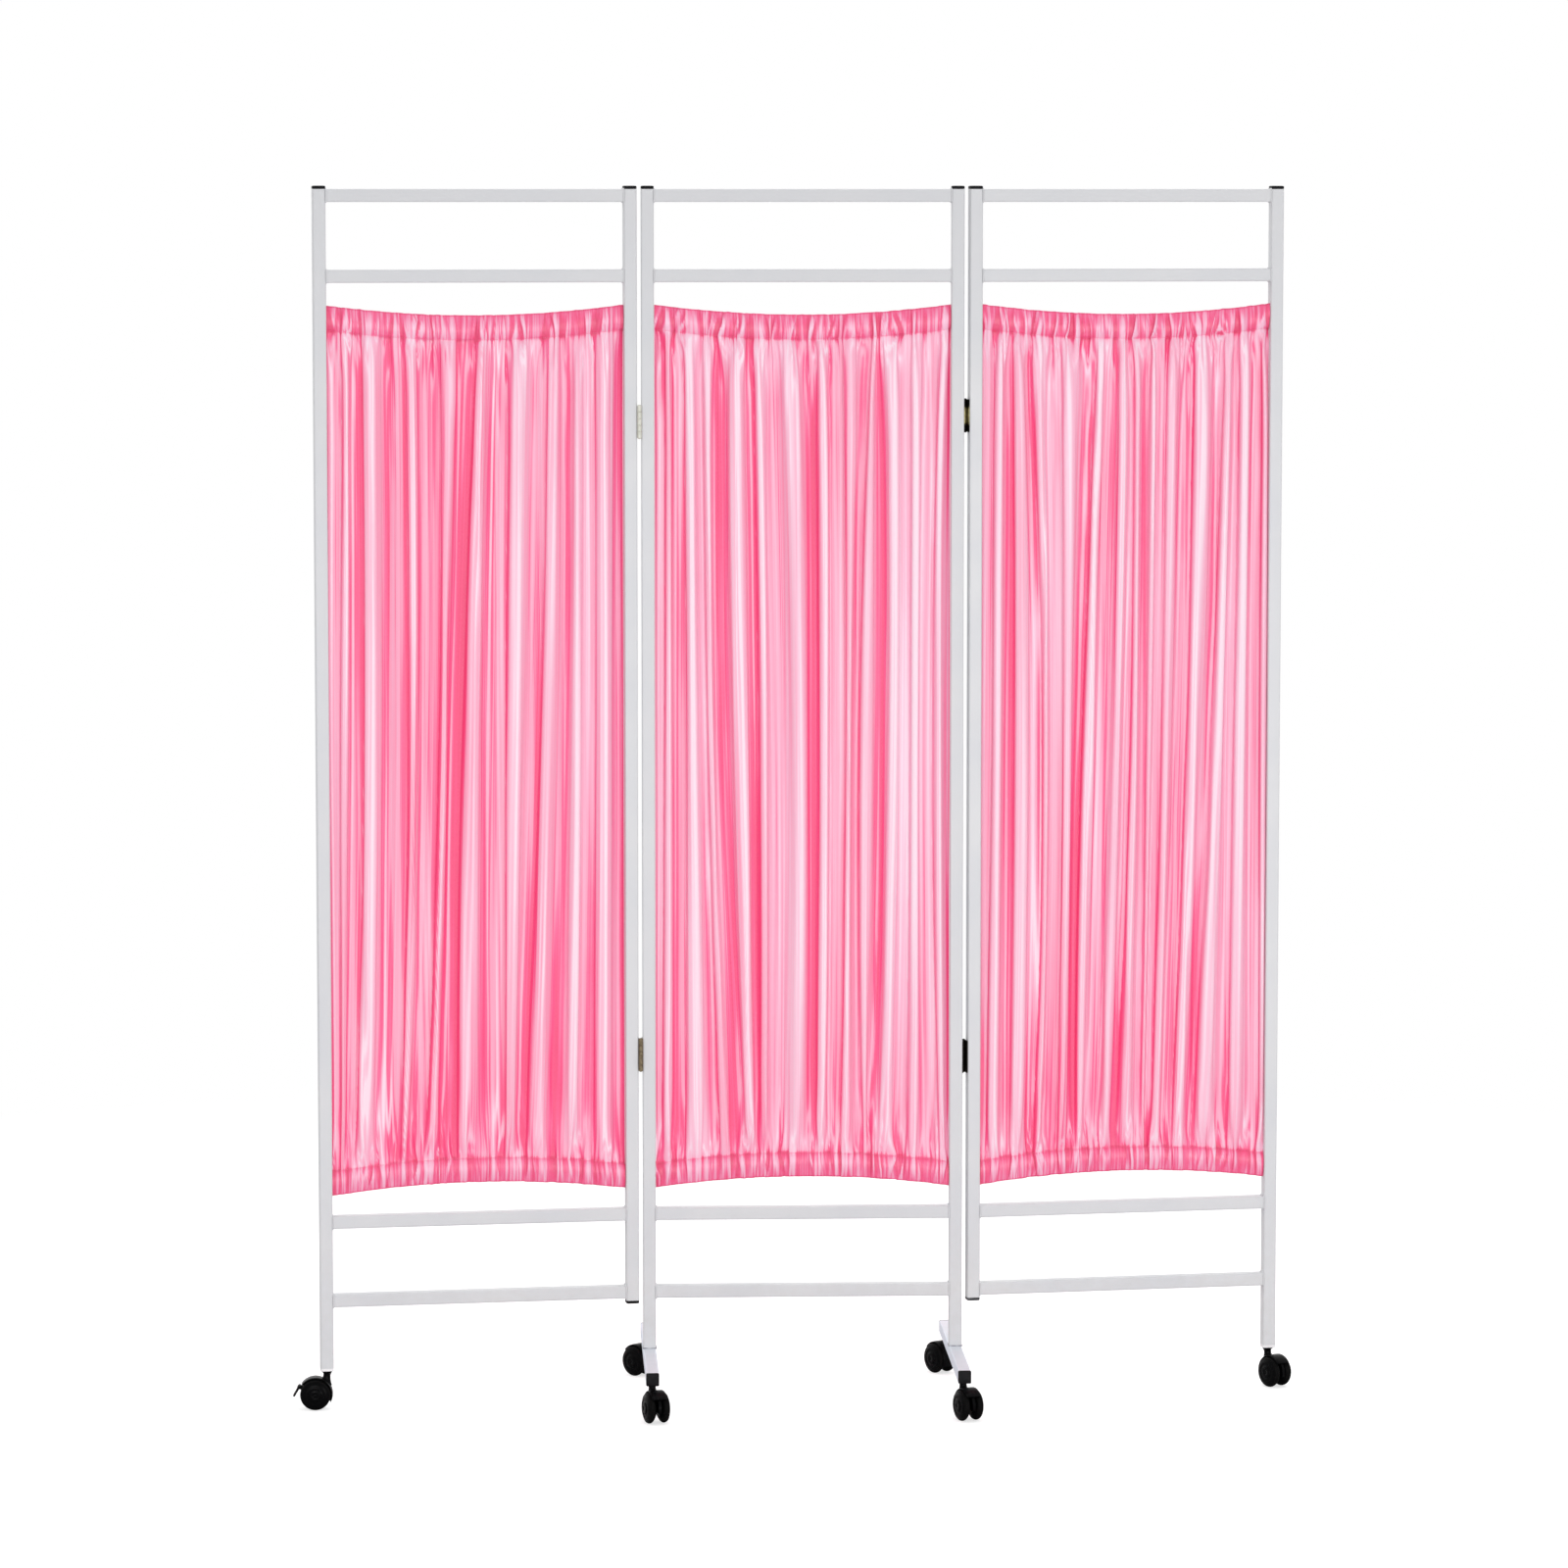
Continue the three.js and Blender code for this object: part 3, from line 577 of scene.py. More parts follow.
class Grower:
    """Builds the geometry trees and turns their results into plain meshes."""

    SIZES = {
        Repeat.WELD: {"Bead radius": 0.0011, "Ripple length": 0.0016, "Ripple depth": 0.12},
        Repeat.STITCH: {"Stitch length": 0.0024, "Stitch pitch": 0.0033, "Thread radius": 0.00028},
        Repeat.SCREW: {"Head radius": 0.0026, "Head height": 0.0003, "Slot width": 0.0006},
        Repeat.RIB: {"Rib length": 0.012, "Rib width": 0.0011, "Rib height": 0.0006},
    }

    def __init__(self) -> None:
        """Starts with no trees."""
        self.trees: dict[Repeat, bpy.types.NodeTree] = {}

    def tree(self, kind: Repeat) -> bpy.types.NodeTree:
        """The tree of one kind, built at its first use."""
        if kind not in self.trees:
            tree = self.trees[kind] = bpy.data.node_groups.new(kind.value, "GeometryNodeTree")
            sockets = [("Path", "INPUT", "Geometry"), *((name, "INPUT", "Float") for name in self.SIZES[kind])]
            for name, way, sort in (*sockets, ("Finish", "INPUT", "Material"), ("Result", "OUTPUT", "Geometry")):
                tree.interface.new_socket(name, in_out=way, socket_type=f"NodeSocket{sort}")
            bench = Bench(tree)
            inputs = bench.node("NodeGroupInput")
            grow = {
                Repeat.WELD: self.weld,
                Repeat.STITCH: self.stitch,
                Repeat.SCREW: self.screw,
                Repeat.RIB: self.rib,
            }[kind]
            real = bench.node("GeometryNodeRealizeInstances", Geometry=grow(bench, inputs))
            smooth = bench.node("GeometryNodeSetShadeSmooth", Geometry=real, Shade_Smooth=kind != Repeat.RIB)
            dressed = bench.node("GeometryNodeSetMaterial", Geometry=smooth, Material=inputs.output("Finish"))
            bench.node("NodeGroupOutput", Result=dressed)
        return self.trees[kind]

    def path(self, bench: Bench, inputs: Reading, step: Reading) -> Reading:
        """The path as a curve with even steps."""
        curve = bench.node("GeometryNodeMeshToCurve", Mesh=inputs.output("Path"))
        return bench.node("GeometryNodeResampleCurve", Curve=curve, Length=step, mode="LENGTH")

    def box(self, bench: Bench, **sides: Reading) -> Reading:
        """A box with the given sides."""
        return bench.node("GeometryNodeMeshCube", Size=bench.node("ShaderNodeCombineXYZ", **sides))

    def outward(self, bench: Bench, inputs: Reading, piece: Reading) -> Reading:
        """A piece on each point, standing up from the surface that carries it."""
        out = bench.node("GeometryNodeInputNamedAttribute", Name="facing", data_type="FLOAT_VECTOR")
        turn = bench.node("FunctionNodeAlignRotationToVector", Vector=out, axis="Z")
        return bench.node("GeometryNodeInstanceOnPoints", Points=inputs.output("Path"), Instance=piece, Rotation=turn)

    def weld(self, bench: Bench, inputs: Reading) -> Reading:
        """A rippled bead along closed paths."""
        ripple = inputs.output("Ripple length")
        run = bench.node("GeometryNodeSplineParameter").output("Length")
        swell = 1 + (run.maths("DIVIDE", ripple) * FULL_TURN).maths("SINE") * inputs.output("Ripple depth")
        ring = bench.node("GeometryNodeCurvePrimitiveCircle", Resolution=6, Radius=inputs.output("Bead radius"))
        fine = self.path(bench, inputs, ripple * 0.25)
        return bench.node("GeometryNodeCurveToMesh", Curve=fine, Profile_Curve=ring, Scale=swell)

    def stitch(self, bench: Bench, inputs: Reading) -> Reading:
        """Short threads laid along a seam."""
        points = self.path(bench, inputs, inputs.output("Stitch pitch"))
        along = bench.node("GeometryNodeInputTangent")
        turn = bench.node("FunctionNodeAlignRotationToVector", Vector=along, axis="Z")
        ball = bench.node("GeometryNodeMeshUVSphere", Segments=5, Rings=4, Radius=1.0)
        half, thick = inputs.output("Stitch length") * 0.5, inputs.output("Thread radius")
        size = bench.node("ShaderNodeCombineXYZ", thick, thick, half)
        return bench.node("GeometryNodeInstanceOnPoints", Points=points, Instance=ball, Rotation=turn, Scale=size)

    def screw(self, bench: Bench, inputs: Reading) -> Reading:
        """A low domed head with a cross cut in it on each point."""
        ball = bench.node("GeometryNodeMeshUVSphere", Segments=20, Rings=10, Radius=1.0)
        radius, height, width = (inputs.output(name) for name in ("Head radius", "Head height", "Slot width"))
        size = bench.node("ShaderNodeCombineXYZ", radius, radius, height)
        head = bench.node("GeometryNodeTransform", Geometry=ball, Scale=size)
        lift = bench.node("ShaderNodeCombineXYZ", Z=height)
        for long, short in ("XY", "YX"):
            bar = self.box(bench, **{long: radius * 1.1, short: width, "Z": height})
            cut = bench.node("GeometryNodeTransform", Geometry=bar, Translation=lift)
            head = bench.node("GeometryNodeMeshBoolean", Mesh_1=head, Mesh_2=cut, operation="DIFFERENCE")
        return self.outward(bench, inputs, head)

    def rib(self, bench: Bench, inputs: Reading) -> Reading:
        """A short raised bar on each point, lying across."""
        width, length, height = (inputs.output(f"Rib {name}") for name in ("width", "length", "height"))
        return self.outward(bench, inputs, self.box(bench, X=width, Y=length, Z=height * 2))

    def grow(
        self,
        kind: Repeat,
        name: str,
        finish: Finish,
        points: Array,
        edges: Sequence[tuple[int, int]] = (),
        facing: Array | None = None,
    ) -> Mesh:
        """Runs a tree on a path or on points.

        Args:
            kind: What to repeat.
            name: The new mesh's name.
            finish: The finish of the result.
            points: The path's corners or the points.
            edges: The path's edges.
            facing: For each point, the way that its instance stands up.

        Returns:
            A plain mesh in the screen's frame.
        """
        path = bpy.data.meshes.new(f"{name}_path")
        path.from_pydata(points.tolist(), list(edges), [])
        if facing is not None:
            path.attributes.new("facing", "FLOAT_VECTOR", "POINT").data.foreach_set("vector", facing.ravel())
        carrier = bpy.data.objects.new(f"{name}_carrier", path)
        grow = carrier.modifiers.new("grow", "NODES")
        grow.node_group = self.tree(kind)
        values = {**self.SIZES[kind], "Finish": finish.material()}
        for item in grow.node_group.interface.items_tree:
            if item.in_out == "INPUT" and item.name in values:
                grow[item.identifier] = values[item.name]
        bpy.context.scene.collection.objects.link(carrier)
        graph = bpy.context.evaluated_depsgraph_get()
        mesh = bpy.data.meshes.new_from_object(carrier.evaluated_get(graph))
        mesh.name = name
        carrier.modifiers.clear()
        bpy.data.objects.remove(carrier)
        bpy.data.meshes.remove(path)
        return mesh


GROWER = Grower()


@dataclass
class Studio:
    """Floor, light and camera."""

    eye: Triple = (-0.422, -9.0, 1.787)
    heading: float = 0.04381
    tilt: float = -0.09602
    lens: float = 140.5
    sensor: float = 36.0
    sky: float = 0.57
    sky_sides: float = 0.28
    sky_above: float = 0.1
    sky_behind: float = 0.7
    aim: Triple = (0.0, 0.0, 0.9)
    lamps: tuple[tuple[str, Triple, float, float], ...] = (
        ("key", (2.5, -5.6, 0.7), 1.2, 65.0),
        ("fill", (-1.2, -6.1, 0.6), 1.2, 58.0),
        ("top", (0.4, 0.6, 7.0), 4.0, 90.0),
    )
    floor_reach: float = 60.0

    def build(self) -> None:
        """Makes the camera at the photograph's place, the world, the lamps and the floor."""
        data = bpy.data.cameras.new("camera")
        data.lens, data.sensor_width = self.lens, self.sensor
        data.clip_start, data.clip_end = 0.1, 100.0
        data.dof.use_dof = False
        flat = math.cos(self.tilt)
        way = Vector((math.sin(self.heading) * flat, math.cos(self.heading) * flat, math.sin(self.tilt)))
        bpy.context.scene.camera = self.stand("camera", data, self.eye, way)
        self.world()
        for name, place, size, power in self.lamps:
            data = bpy.data.lights.new(name, "AREA")
            data.shape, data.size, data.energy = "DISK", size, power
            self.stand(name, data, place, Vector(self.aim) - Vector(place))
        self.floor()

    def stand(self, name: str, data: Any, place: Triple, way: Vector) -> bpy.types.Object:
        """Stands a camera or a lamp at a place and points it along a way."""
        thing = bpy.data.objects.new(name, data)
        thing.location, thing.rotation_mode = place, "QUATERNION"
        thing.rotation_quaternion = way.to_track_quat("-Z", "Y")
        bpy.context.scene.collection.objects.link(thing)
        return thing

    def world(self) -> None:
        """Pale light all round, stronger from the sides, above and behind, and plain white for the camera."""
        scene = bpy.context.scene
        scene.world = bpy.data.worlds.new("studio")
        scene.world.use_nodes = True
        scene.world.node_tree.nodes.clear()
        bench = Bench(scene.world.node_tree)
        way = bench.node("ShaderNodeSeparateXYZ", bench.node("ShaderNodeTexCoord").output("Generated"))
        sky = self.sky + way.output("X").maths("ABSOLUTE") * self.sky_sides + way.output("Z") * self.sky_above
        sky = sky + way.output("Y").maths("MAXIMUM", 0.0) * self.sky_behind
        light = bench.node("ShaderNodeBackground", Color=WHITE, Strength=sky + bench.seen() * (1 - sky))
        bench.node("ShaderNodeOutputWorld", Surface=light)
        scene.view_settings.view_transform = "Standard"

    def floor(self) -> None:
        """A plain floor that is no part of the screen."""
        mesh = bpy.data.meshes.new("floor")
        r = self.floor_reach
        mesh.from_pydata([(-r, -r, 0), (r, -r, 0), (r, r, 0), (-r, r, 0)], [], [(0, 1, 2, 3)])
        mesh.materials.append(Backdrop("pale floor").material())
        floor = bpy.data.objects.new("floor", mesh)
        bpy.context.scene.collection.objects.link(floor)


@dataclass
class Frames:
    """The enamelled tubes with their welds and the plugs in their ends."""

    side: float = 0.019
    corner: float = 0.002
    opening: float = 0.437
    bead_out: float = 0.0003
    bead_squeeze: float = 0.97
    rail_heights: tuple[float, ...] = (1.7857, 1.6687, 0.279, 0.162)
    upright: float = 0.228
    leg_below: float = 0.0035
    foot_top: float = 0.07641
    foot_half: float = 0.2
    tube_top: float = 1.7952
    plug_gap: float = 0.0003
    plug_head: float = 0.0045
    spigot: float = 0.014
    spigot_side: float = 0.016
    spigot_ease: float = 0.002

    def build(self) -> None:
        """Dresses the solids and adds welds and plugs."""
        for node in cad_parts:
            if "_rail_" in node or "_leg_" in node:
                self.dress(node, ENAMEL_COLLAR if node.endswith("leg_outer") else ENAMEL)
            elif "_stand_" in node:
                self.dress(node, ENAMEL_STAND_LIT_FEET)
            elif "_wire_" in node:
                self.dress(node, WIRE)
        for panel in PLACES:
            self.welds(panel)
            for end, sign in ENDS:
                self.plug(f"{panel}_plug_{end}", panel, (sign * self.upright, 0, self.tube_top), (0, 0, 1))
        foot = self.rail_heights[-1] - self.side / 2 - self.leg_below
        for end, sign in ENDS:
            finish = PLUG_PLASTIC if end == "left" else GREY_PLUG
            self.plug(f"{end}_plug_inner_bottom", end, (-sign * self.upright, 0, foot), (0, 0, -1), finish)
        for end, sign in ENDS:
            for face, way in (("front", -1), ("rear", 1)):
                at = (sign * self.upright, way * self.foot_half, self.foot_top - self.side / 2)
                self.plug(f"foot_plug_{end}_{face}", "middle", at, (0, way, 0))

    def dress(self, node: str, finish: Finish) -> None:
        """Gives a solid that stays in view its finish."""
        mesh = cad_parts[node].data
        mesh.materials.clear()
        mesh.materials.append(finish.material())

    def welds(self, panel: str) -> None:
        """The beads round every joint of one panel."""
        ring = rounded_square(self.side + 2 * self.bead_out, self.corner + self.bead_out, 5)
        x, y = ring.T
        loops, wall = [], self.opening / 2 - self.bead_out
        for height in self.rail_heights:
            for _, sign in ENDS:
                loops.append(np.column_stack([np.full(len(ring), sign * wall), x, y + height]))
        if panel == "middle":
            for _, sign in ENDS:
                foot = np.column_stack([x * self.bead_squeeze + sign * self.upright, y])
                loops.append(level(foot, self.foot_top + self.bead_out))
        steps = np.arange(len(loops) * len(ring)).reshape(len(loops), -1)
        edges = np.stack([steps, np.roll(steps, -1, 1)], -1).reshape(-1, 2).tolist()
        mesh = GROWER.grow(Repeat.WELD, f"{panel}_welds", WELDS, PLACES[panel].world(np.concatenate(loops)), edges)
        show(f"{panel}_welds", mesh, WELDS, BODIES[panel])

    def plug(self, node: str, panel: str, at: Triple, way: Triple, finish: Finish = PLUG_PLASTIC) -> None:
        """A tube plug with a crowned head.

        Args:
            node: The solid that it stands for.
            panel: The panel that holds it.
            at: The end of the tube, in the panel's frame.
            way: The way that the head points.
            finish: Its plastic.
        """
        gap, top = self.plug_gap, self.plug_gap + self.plug_head
        sections = [
            (self.spigot_side - self.spigot_ease, -self.spigot),
            (self.spigot_side, -self.spigot + self.spigot_ease),
            (self.spigot_side, gap),
            (self.side, gap),
            (self.side, gap + 0.0028),
            (self.side - 0.0006, gap + 0.0037),
            (self.side - 0.0022, top - 0.0003),
            (self.side - 0.006, top - 0.00005),
            (self.side - 0.012, top),
        ]
        points = np.array(
            [level(rounded_square(s, max(self.corner * s / self.side, 0.0006)), rise) for s, rise in sections]
        )
        x, y, z = np.moveaxis(points, -1, 0)
        if way[2] < 0:
            points = np.stack([x, -y, -z], -1)
        elif way[1]:
            points = np.stack([x, way[1] * z, -way[1] * y], -1)
        shell = Shell()
        shell.loft(points + np.array(at))
        mesh = shell.mesh(f"{node}_cap", PLACES[panel], sharp=50)
        show(f"{node}_cap", mesh, finish, BODIES[panel], [node])


@dataclass
class Hinge:
    """A butt hinge: two leaves with knuckles, a pin with domed ends, and screws."""

    name: str
    pin: Place
    wing_pin: Place
    wing_body: str
    height: float
    root: float = 0.0016
    reach: float = 0.019
    tall: float = 0.048
    thick: float = 0.0012
    corner: float = 0.002
    curl: float = 0.004
    knuckle: float = 0.00325
    knuckle_ease: float = 0.0003
    knuckles: int = 5
    gap: float = 0.0004
    leaf_face: float = 0.0025
    pin_radius: float = 0.0016
    pin_head: float = 0.0012
    screws: tuple[Pair, ...] = ((0.0075, -0.0165), (0.0135, 0.0), (0.0075, 0.0165))

    def build(self) -> None:
        """Makes both leaves."""
        self.leaf("fixed_leaf", 1, self.pin, "middle_panel")
        self.leaf("wing_leaf", -1, self.wing_pin, self.wing_body)

    def leaf(self, part: str, side: int, pin: Place, body: str) -> None:
        """One leaf with its share of the knuckles: the fixed one has the first and the last, and the pin.

        Args:
            part: The leaf's name.
            side: The side of the pin that it lies on, minus one for the wing's.
            pin: Where its pin stands, and which way its panel faces.
            body: The body that carries it.
        """
        shell, wing = Shell(), int(side < 0)
        outer, inner = side * self.leaf_face, side * (self.leaf_face - self.thick)
        low, high = self.height - self.tall / 2, self.height + self.tall / 2
        r = self.corner
        plate = [(self.root, high), (self.root, low)]
        for middle, start in ((low + r, -math.pi / 2), (high - r, 0.0)):
            plate += arc((self.reach - r, middle), r, [start + math.pi / 8 * k for k in range(5)])
        shell.loft(np.array([[(x, *corner) for corner in plate] for x in sorted((outer, inner))]))
        pitch = (self.tall + self.gap) / self.knuckles
        for k in range(wing, self.knuckles, 2):
            foot = low + k * pitch
            self.barrel(shell, foot, foot + pitch - self.gap, (outer + inner) / 2)
        if not wing:
            self.rod(shell, low - self.pin_head, high + self.pin_head)
        name = f"{self.name}_{part}"
        finish, slot = HINGE_LOOKS[self.name]
        show(f"{name}_dressed", shell.mesh(f"{name}_dressed", pin), finish, body, [name], 0.0002)
        spots = pin.world([(inner, y, self.height + rise) for y, rise in self.screws])
        ways = pin.ways([(-side, 0, 0)] * len(spots))
        screws = GROWER.grow(Repeat.SCREW, f"{name}_screws", finish, spots, facing=ways)
        show(f"{name}_screws", screws, finish, body)

    def barrel(self, shell: Shell, low: float, high: float, plate: float) -> None:
        """A knuckle: a barrel with eased ends and the curl that joins it to the plate."""
        ease, r, half = self.knuckle_ease, self.knuckle, self.thick / 2
        shell.loft(turned([(r - ease, low), (r, low + ease), (r, high - ease), (r - ease, high)], 28))
        near, far = plate - half, plate + half
        curl = np.array([(near, 0.0), (far, 0.0), (far, self.curl), (near, self.curl)])
        shell.loft(np.stack([level(curl, z) for z in (low, high)]))

    def rod(self, shell: Shell, low: float, high: float) -> None:
        """The pin with its domed ends."""
        r, h = self.pin_radius, self.pin_head
        profile = [(r * 0.5, low), (r * 1.35, low + h * 0.35), (r * 1.45, low + h), (r, low + h)]
        profile += [(a, low + high - z) for a, z in reversed(profile)]
        shell.loft(turned(profile, 20))


@dataclass
class Caster:
    """A twin-wheel caster with a smooth hood, on the floor with its stem upright."""

    name: str
    place: Place
    brake: bool = False
    trail: float = 0.017
    axle: float = 0.0225
    seat: float = 0.05711
    hood: float = 0.02574
    hood_inside: float = 0.02394
    hood_half: float = 0.0115
    hood_steps: int = 40
    web: float = 0.0022
    start: float = math.radians(38)
    end: float = math.radians(205)
    stem: float = 0.004
    neck: float = 0.0053
    flange: float = 0.0075
    skirt: float = 0.0212
    ear: float = 0.0205
    ear_half: float = 0.16
    lever_radius: float = 0.0261
    lever_angle: float = math.radians(25)
    lever_fall: float = math.radians(-60)
    lever_half: float = 0.0079
    tyre: ClassVar = (
        (2.5, 2.6, 0), (12.5, 2.6, 0), (13.1, 2.75, 0), (16.4, 4.3, 0), (18.9, 5.9, 0.3), (20.8, 7.4, 1),
        (21.9, 8.8, 1), (22.4, 10.0, 1), (22.5, 11.0, 1), (22.4, 12.1, 1), (22.0, 13.3, 1), (21.3, 14.4, 1),
        (20.4, 15.2, 1), (20.0, 15.3, 0.5), (19.8, 15.1, 0), (19.3, 15.4, 0), (16.9, 16.6, 0), (14.4, 17.3, 0),
        (13.8, 17.3, 0), (13.5, 16.8, 0), (9.6, 16.8, 0), (9.2, 17.2, 0), (8.8, 18.0, 0), (8.1, 18.35, 0),
        (5.5, 18.5, 0), (2.8, 18.5, 0), (2.5, 18.1, 0), (0.3, 18.3, 0),
    )  # millimetres: radius and width, and how much of each ring is tread
    pedal: ClassVar = (
        (-0.0012, 0.0022), (0.002, 0.0024), (0.008, 0.0014), (0.0135, 0.0013), (0.0158, 0.0018), (0.0163, 0.0013),
        (0.0158, -0.0008), (0.0135, -0.0011), (0.0035, -0.0011), (0.0014, -0.0022), (-0.0012, -0.0022),
        (-0.0025, -0.0006), (-0.0025, 0.0008),
    )  # metres: along the lever and out from it

    def build(self) -> None:
        """Makes housing, wheels and brake lever."""
        name, fork = self.name, f"{self.name}_fork"
        show(f"{name}_hood", self.housing(), HOOD_PLASTIC, fork, [f"{name}_housing"], 0.0004)
        show(f"{name}_tyres", self.wheels(), WHEELS, f"{name}_wheel_pair", [f"{name}_wheels"])
        if self.brake:
            self.lever()

    def wheels(self) -> Mesh:
        """Both wheels about the axle."""
        shell = Shell()
        for side in (-1, 1):
            profile = [(r / 1000, side * w / 1000) for r, w, _ in self.tyre][::side]
            marks = np.array([m for _, _, m in self.tyre], float)[::side]
            shell.loft(across(turned(profile, 72)) + (self.trail, 0, self.axle), marks)
        return shell.mesh(f"{self.name}_tyres", self.place, mark="tread", sharp=55)

    def polar(self, radius: float, angle: float) -> Pair:
        """A point round the axle, as x and z."""
        return arc((self.trail, self.axle), radius, [angle])[0]

    def housing(self) -> Mesh:
        """Hood, web, neck and stem, and the ear of the brake."""
        shell = Shell()
        crown = [(-1, -0.0009), (-0.9, -0.0003), (-0.6, -0.0001), (0, 0), (0.6, -0.0001), (0.9, -0.0003), (1, -0.0009)]
        section = [(self.hood + drop, share * self.hood_half) for share, drop in crown]
        section += [(self.hood_inside, self.hood_half), (self.hood_inside, -self.hood_half)]
        rings = []
        for k in range(self.hood_steps + 1):
            angle = self.start + (self.end - self.start) * k / self.hood_steps
            rings.append([(*self.polar(r, angle), y) for r, y in section])
        shell.loft(np.array(rings)[..., [0, 2, 1]][:, ::-1])
        outline = [self.polar(self.hood - 0.0009, a) for a in np.linspace(self.start, self.end, 40)]
        outline += [self.polar(0.008, a) for a in np.linspace(math.radians(242), math.radians(325), 12)]
        outline += [self.polar(self.skirt, a) for a in np.linspace(math.radians(-16), self.start, 12)]
        self.slab(shell, outline, self.web)
        self.collar(shell)
        hub = [(0.0008, -0.0024), (0.0076, -0.0024), (0.0076, 0.0024), (0.0008, 0.0024)]
        shell.loft(across(turned(hub, 40)) + (self.trail, 0, self.axle))
        if self.brake:
            feet = [self.polar(self.ear, self.lever_angle + side * self.ear_half) for side in (-1, 1)]
            eye = arc(self.polar(self.lever_radius, self.lever_angle), 0.003, np.linspace(-1.2, 1.9, 9))
            self.slab(shell, [feet[0], *eye, feet[1]], self.web)
        return shell.mesh(f"{self.name}_hood", self.place, sharp=38)

    def slab(self, shell: Shell, outline: Sequence[Pair], half: float) -> None:
        """A flat part across the axle, from an outline that turns left as x and z."""
        shell.loft(np.array([[(x, y, z) for x, z in outline] for y in (half, -half)]))

    def collar(self, shell: Shell) -> None:
        """The waisted neck that flows out of the hood, and the stem."""
        ring, rings = circle(36), []
        for swell, share in ((1.0, 0.0), (0.55, 0.14), (0.2, 0.3), (0.0, 0.48), (0.0, 0.66), (0.3, 0.78), (0.8, 0.86)):
            flat = ring * (self.neck + (self.flange - self.neck) * swell)
            round_hood = (self.hood - 0.0006) ** 2 - (flat[:, 0] - self.trail) ** 2
            on_hood = self.axle + np.sqrt(np.maximum(round_hood, (self.hood / 2) ** 2))
            rings.append(np.column_stack([flat, on_hood + (self.seat - on_hood) * share]))
        for radius, rise in (
            (self.flange, -0.0022),
            (self.flange, -0.0004),
            (self.flange - 0.0004, 0.0),
            (self.stem, 0.0),
            (self.stem, 0.0118),
            (self.stem - 0.0007, 0.0122),
            (self.stem - 0.0007, 0.0136),
            (self.stem, 0.014),
            (self.stem - 0.0006, 0.0154),
            (0.0006, 0.0155),
        ):
            rings.append(level(ring * radius, self.seat + rise))
        shell.loft(np.array(rings))

    def lever(self) -> None:
        """The brake pedal, hinged on the hood's ear, with grip ribs."""
        eye = np.array(self.polar(self.lever_radius, self.lever_angle))
        along, out = np.array(arc((0.0, 0.0), 1.0, [self.lever_fall, self.lever_fall + math.pi / 2]))
        shell, body, name = Shell(), "brake_lever", self.name
        self.slab(shell, [eye + along * a + out * b for a, b in self.pedal][::-1], self.lever_half)
        mesh = shell.mesh(f"{name}_pedal", self.place)
        show(f"{name}_pedal", mesh, HOOD_PLASTIC, body, [f"{name}_brake_lever"], 0.0006)
        feet = [eye + along * a + out * 0.0013 for a in (0.0072, 0.0098, 0.0124)]
        spots = self.place.world([(x, 0.0, z) for x, z in feet])
        ways = self.place.ways([(out[0], 0.0, out[1])] * len(feet))
        ribs = GROWER.grow(Repeat.RIB, f"{name}_ribs", HOOD_PLASTIC, spots, facing=ways)
        show(f"{name}_ribs", ribs, HOOD_PLASTIC, body)


@dataclass(frozen=True)
class Gleam:
    """A broad band of painted light, or of painted shade where its strength is below nought, that hangs with the
    folds.

    Its place and width are shares of the width, and its height and reach are metres.
    """

    place: float
    width: float
    strength: float
    height: float = 0.95
    reach: float = 1.2


def bell(values: Array, width: float) -> Array:
    """One at nought, falling off to both sides over a width."""
    return np.exp(-((values / width) ** 2))


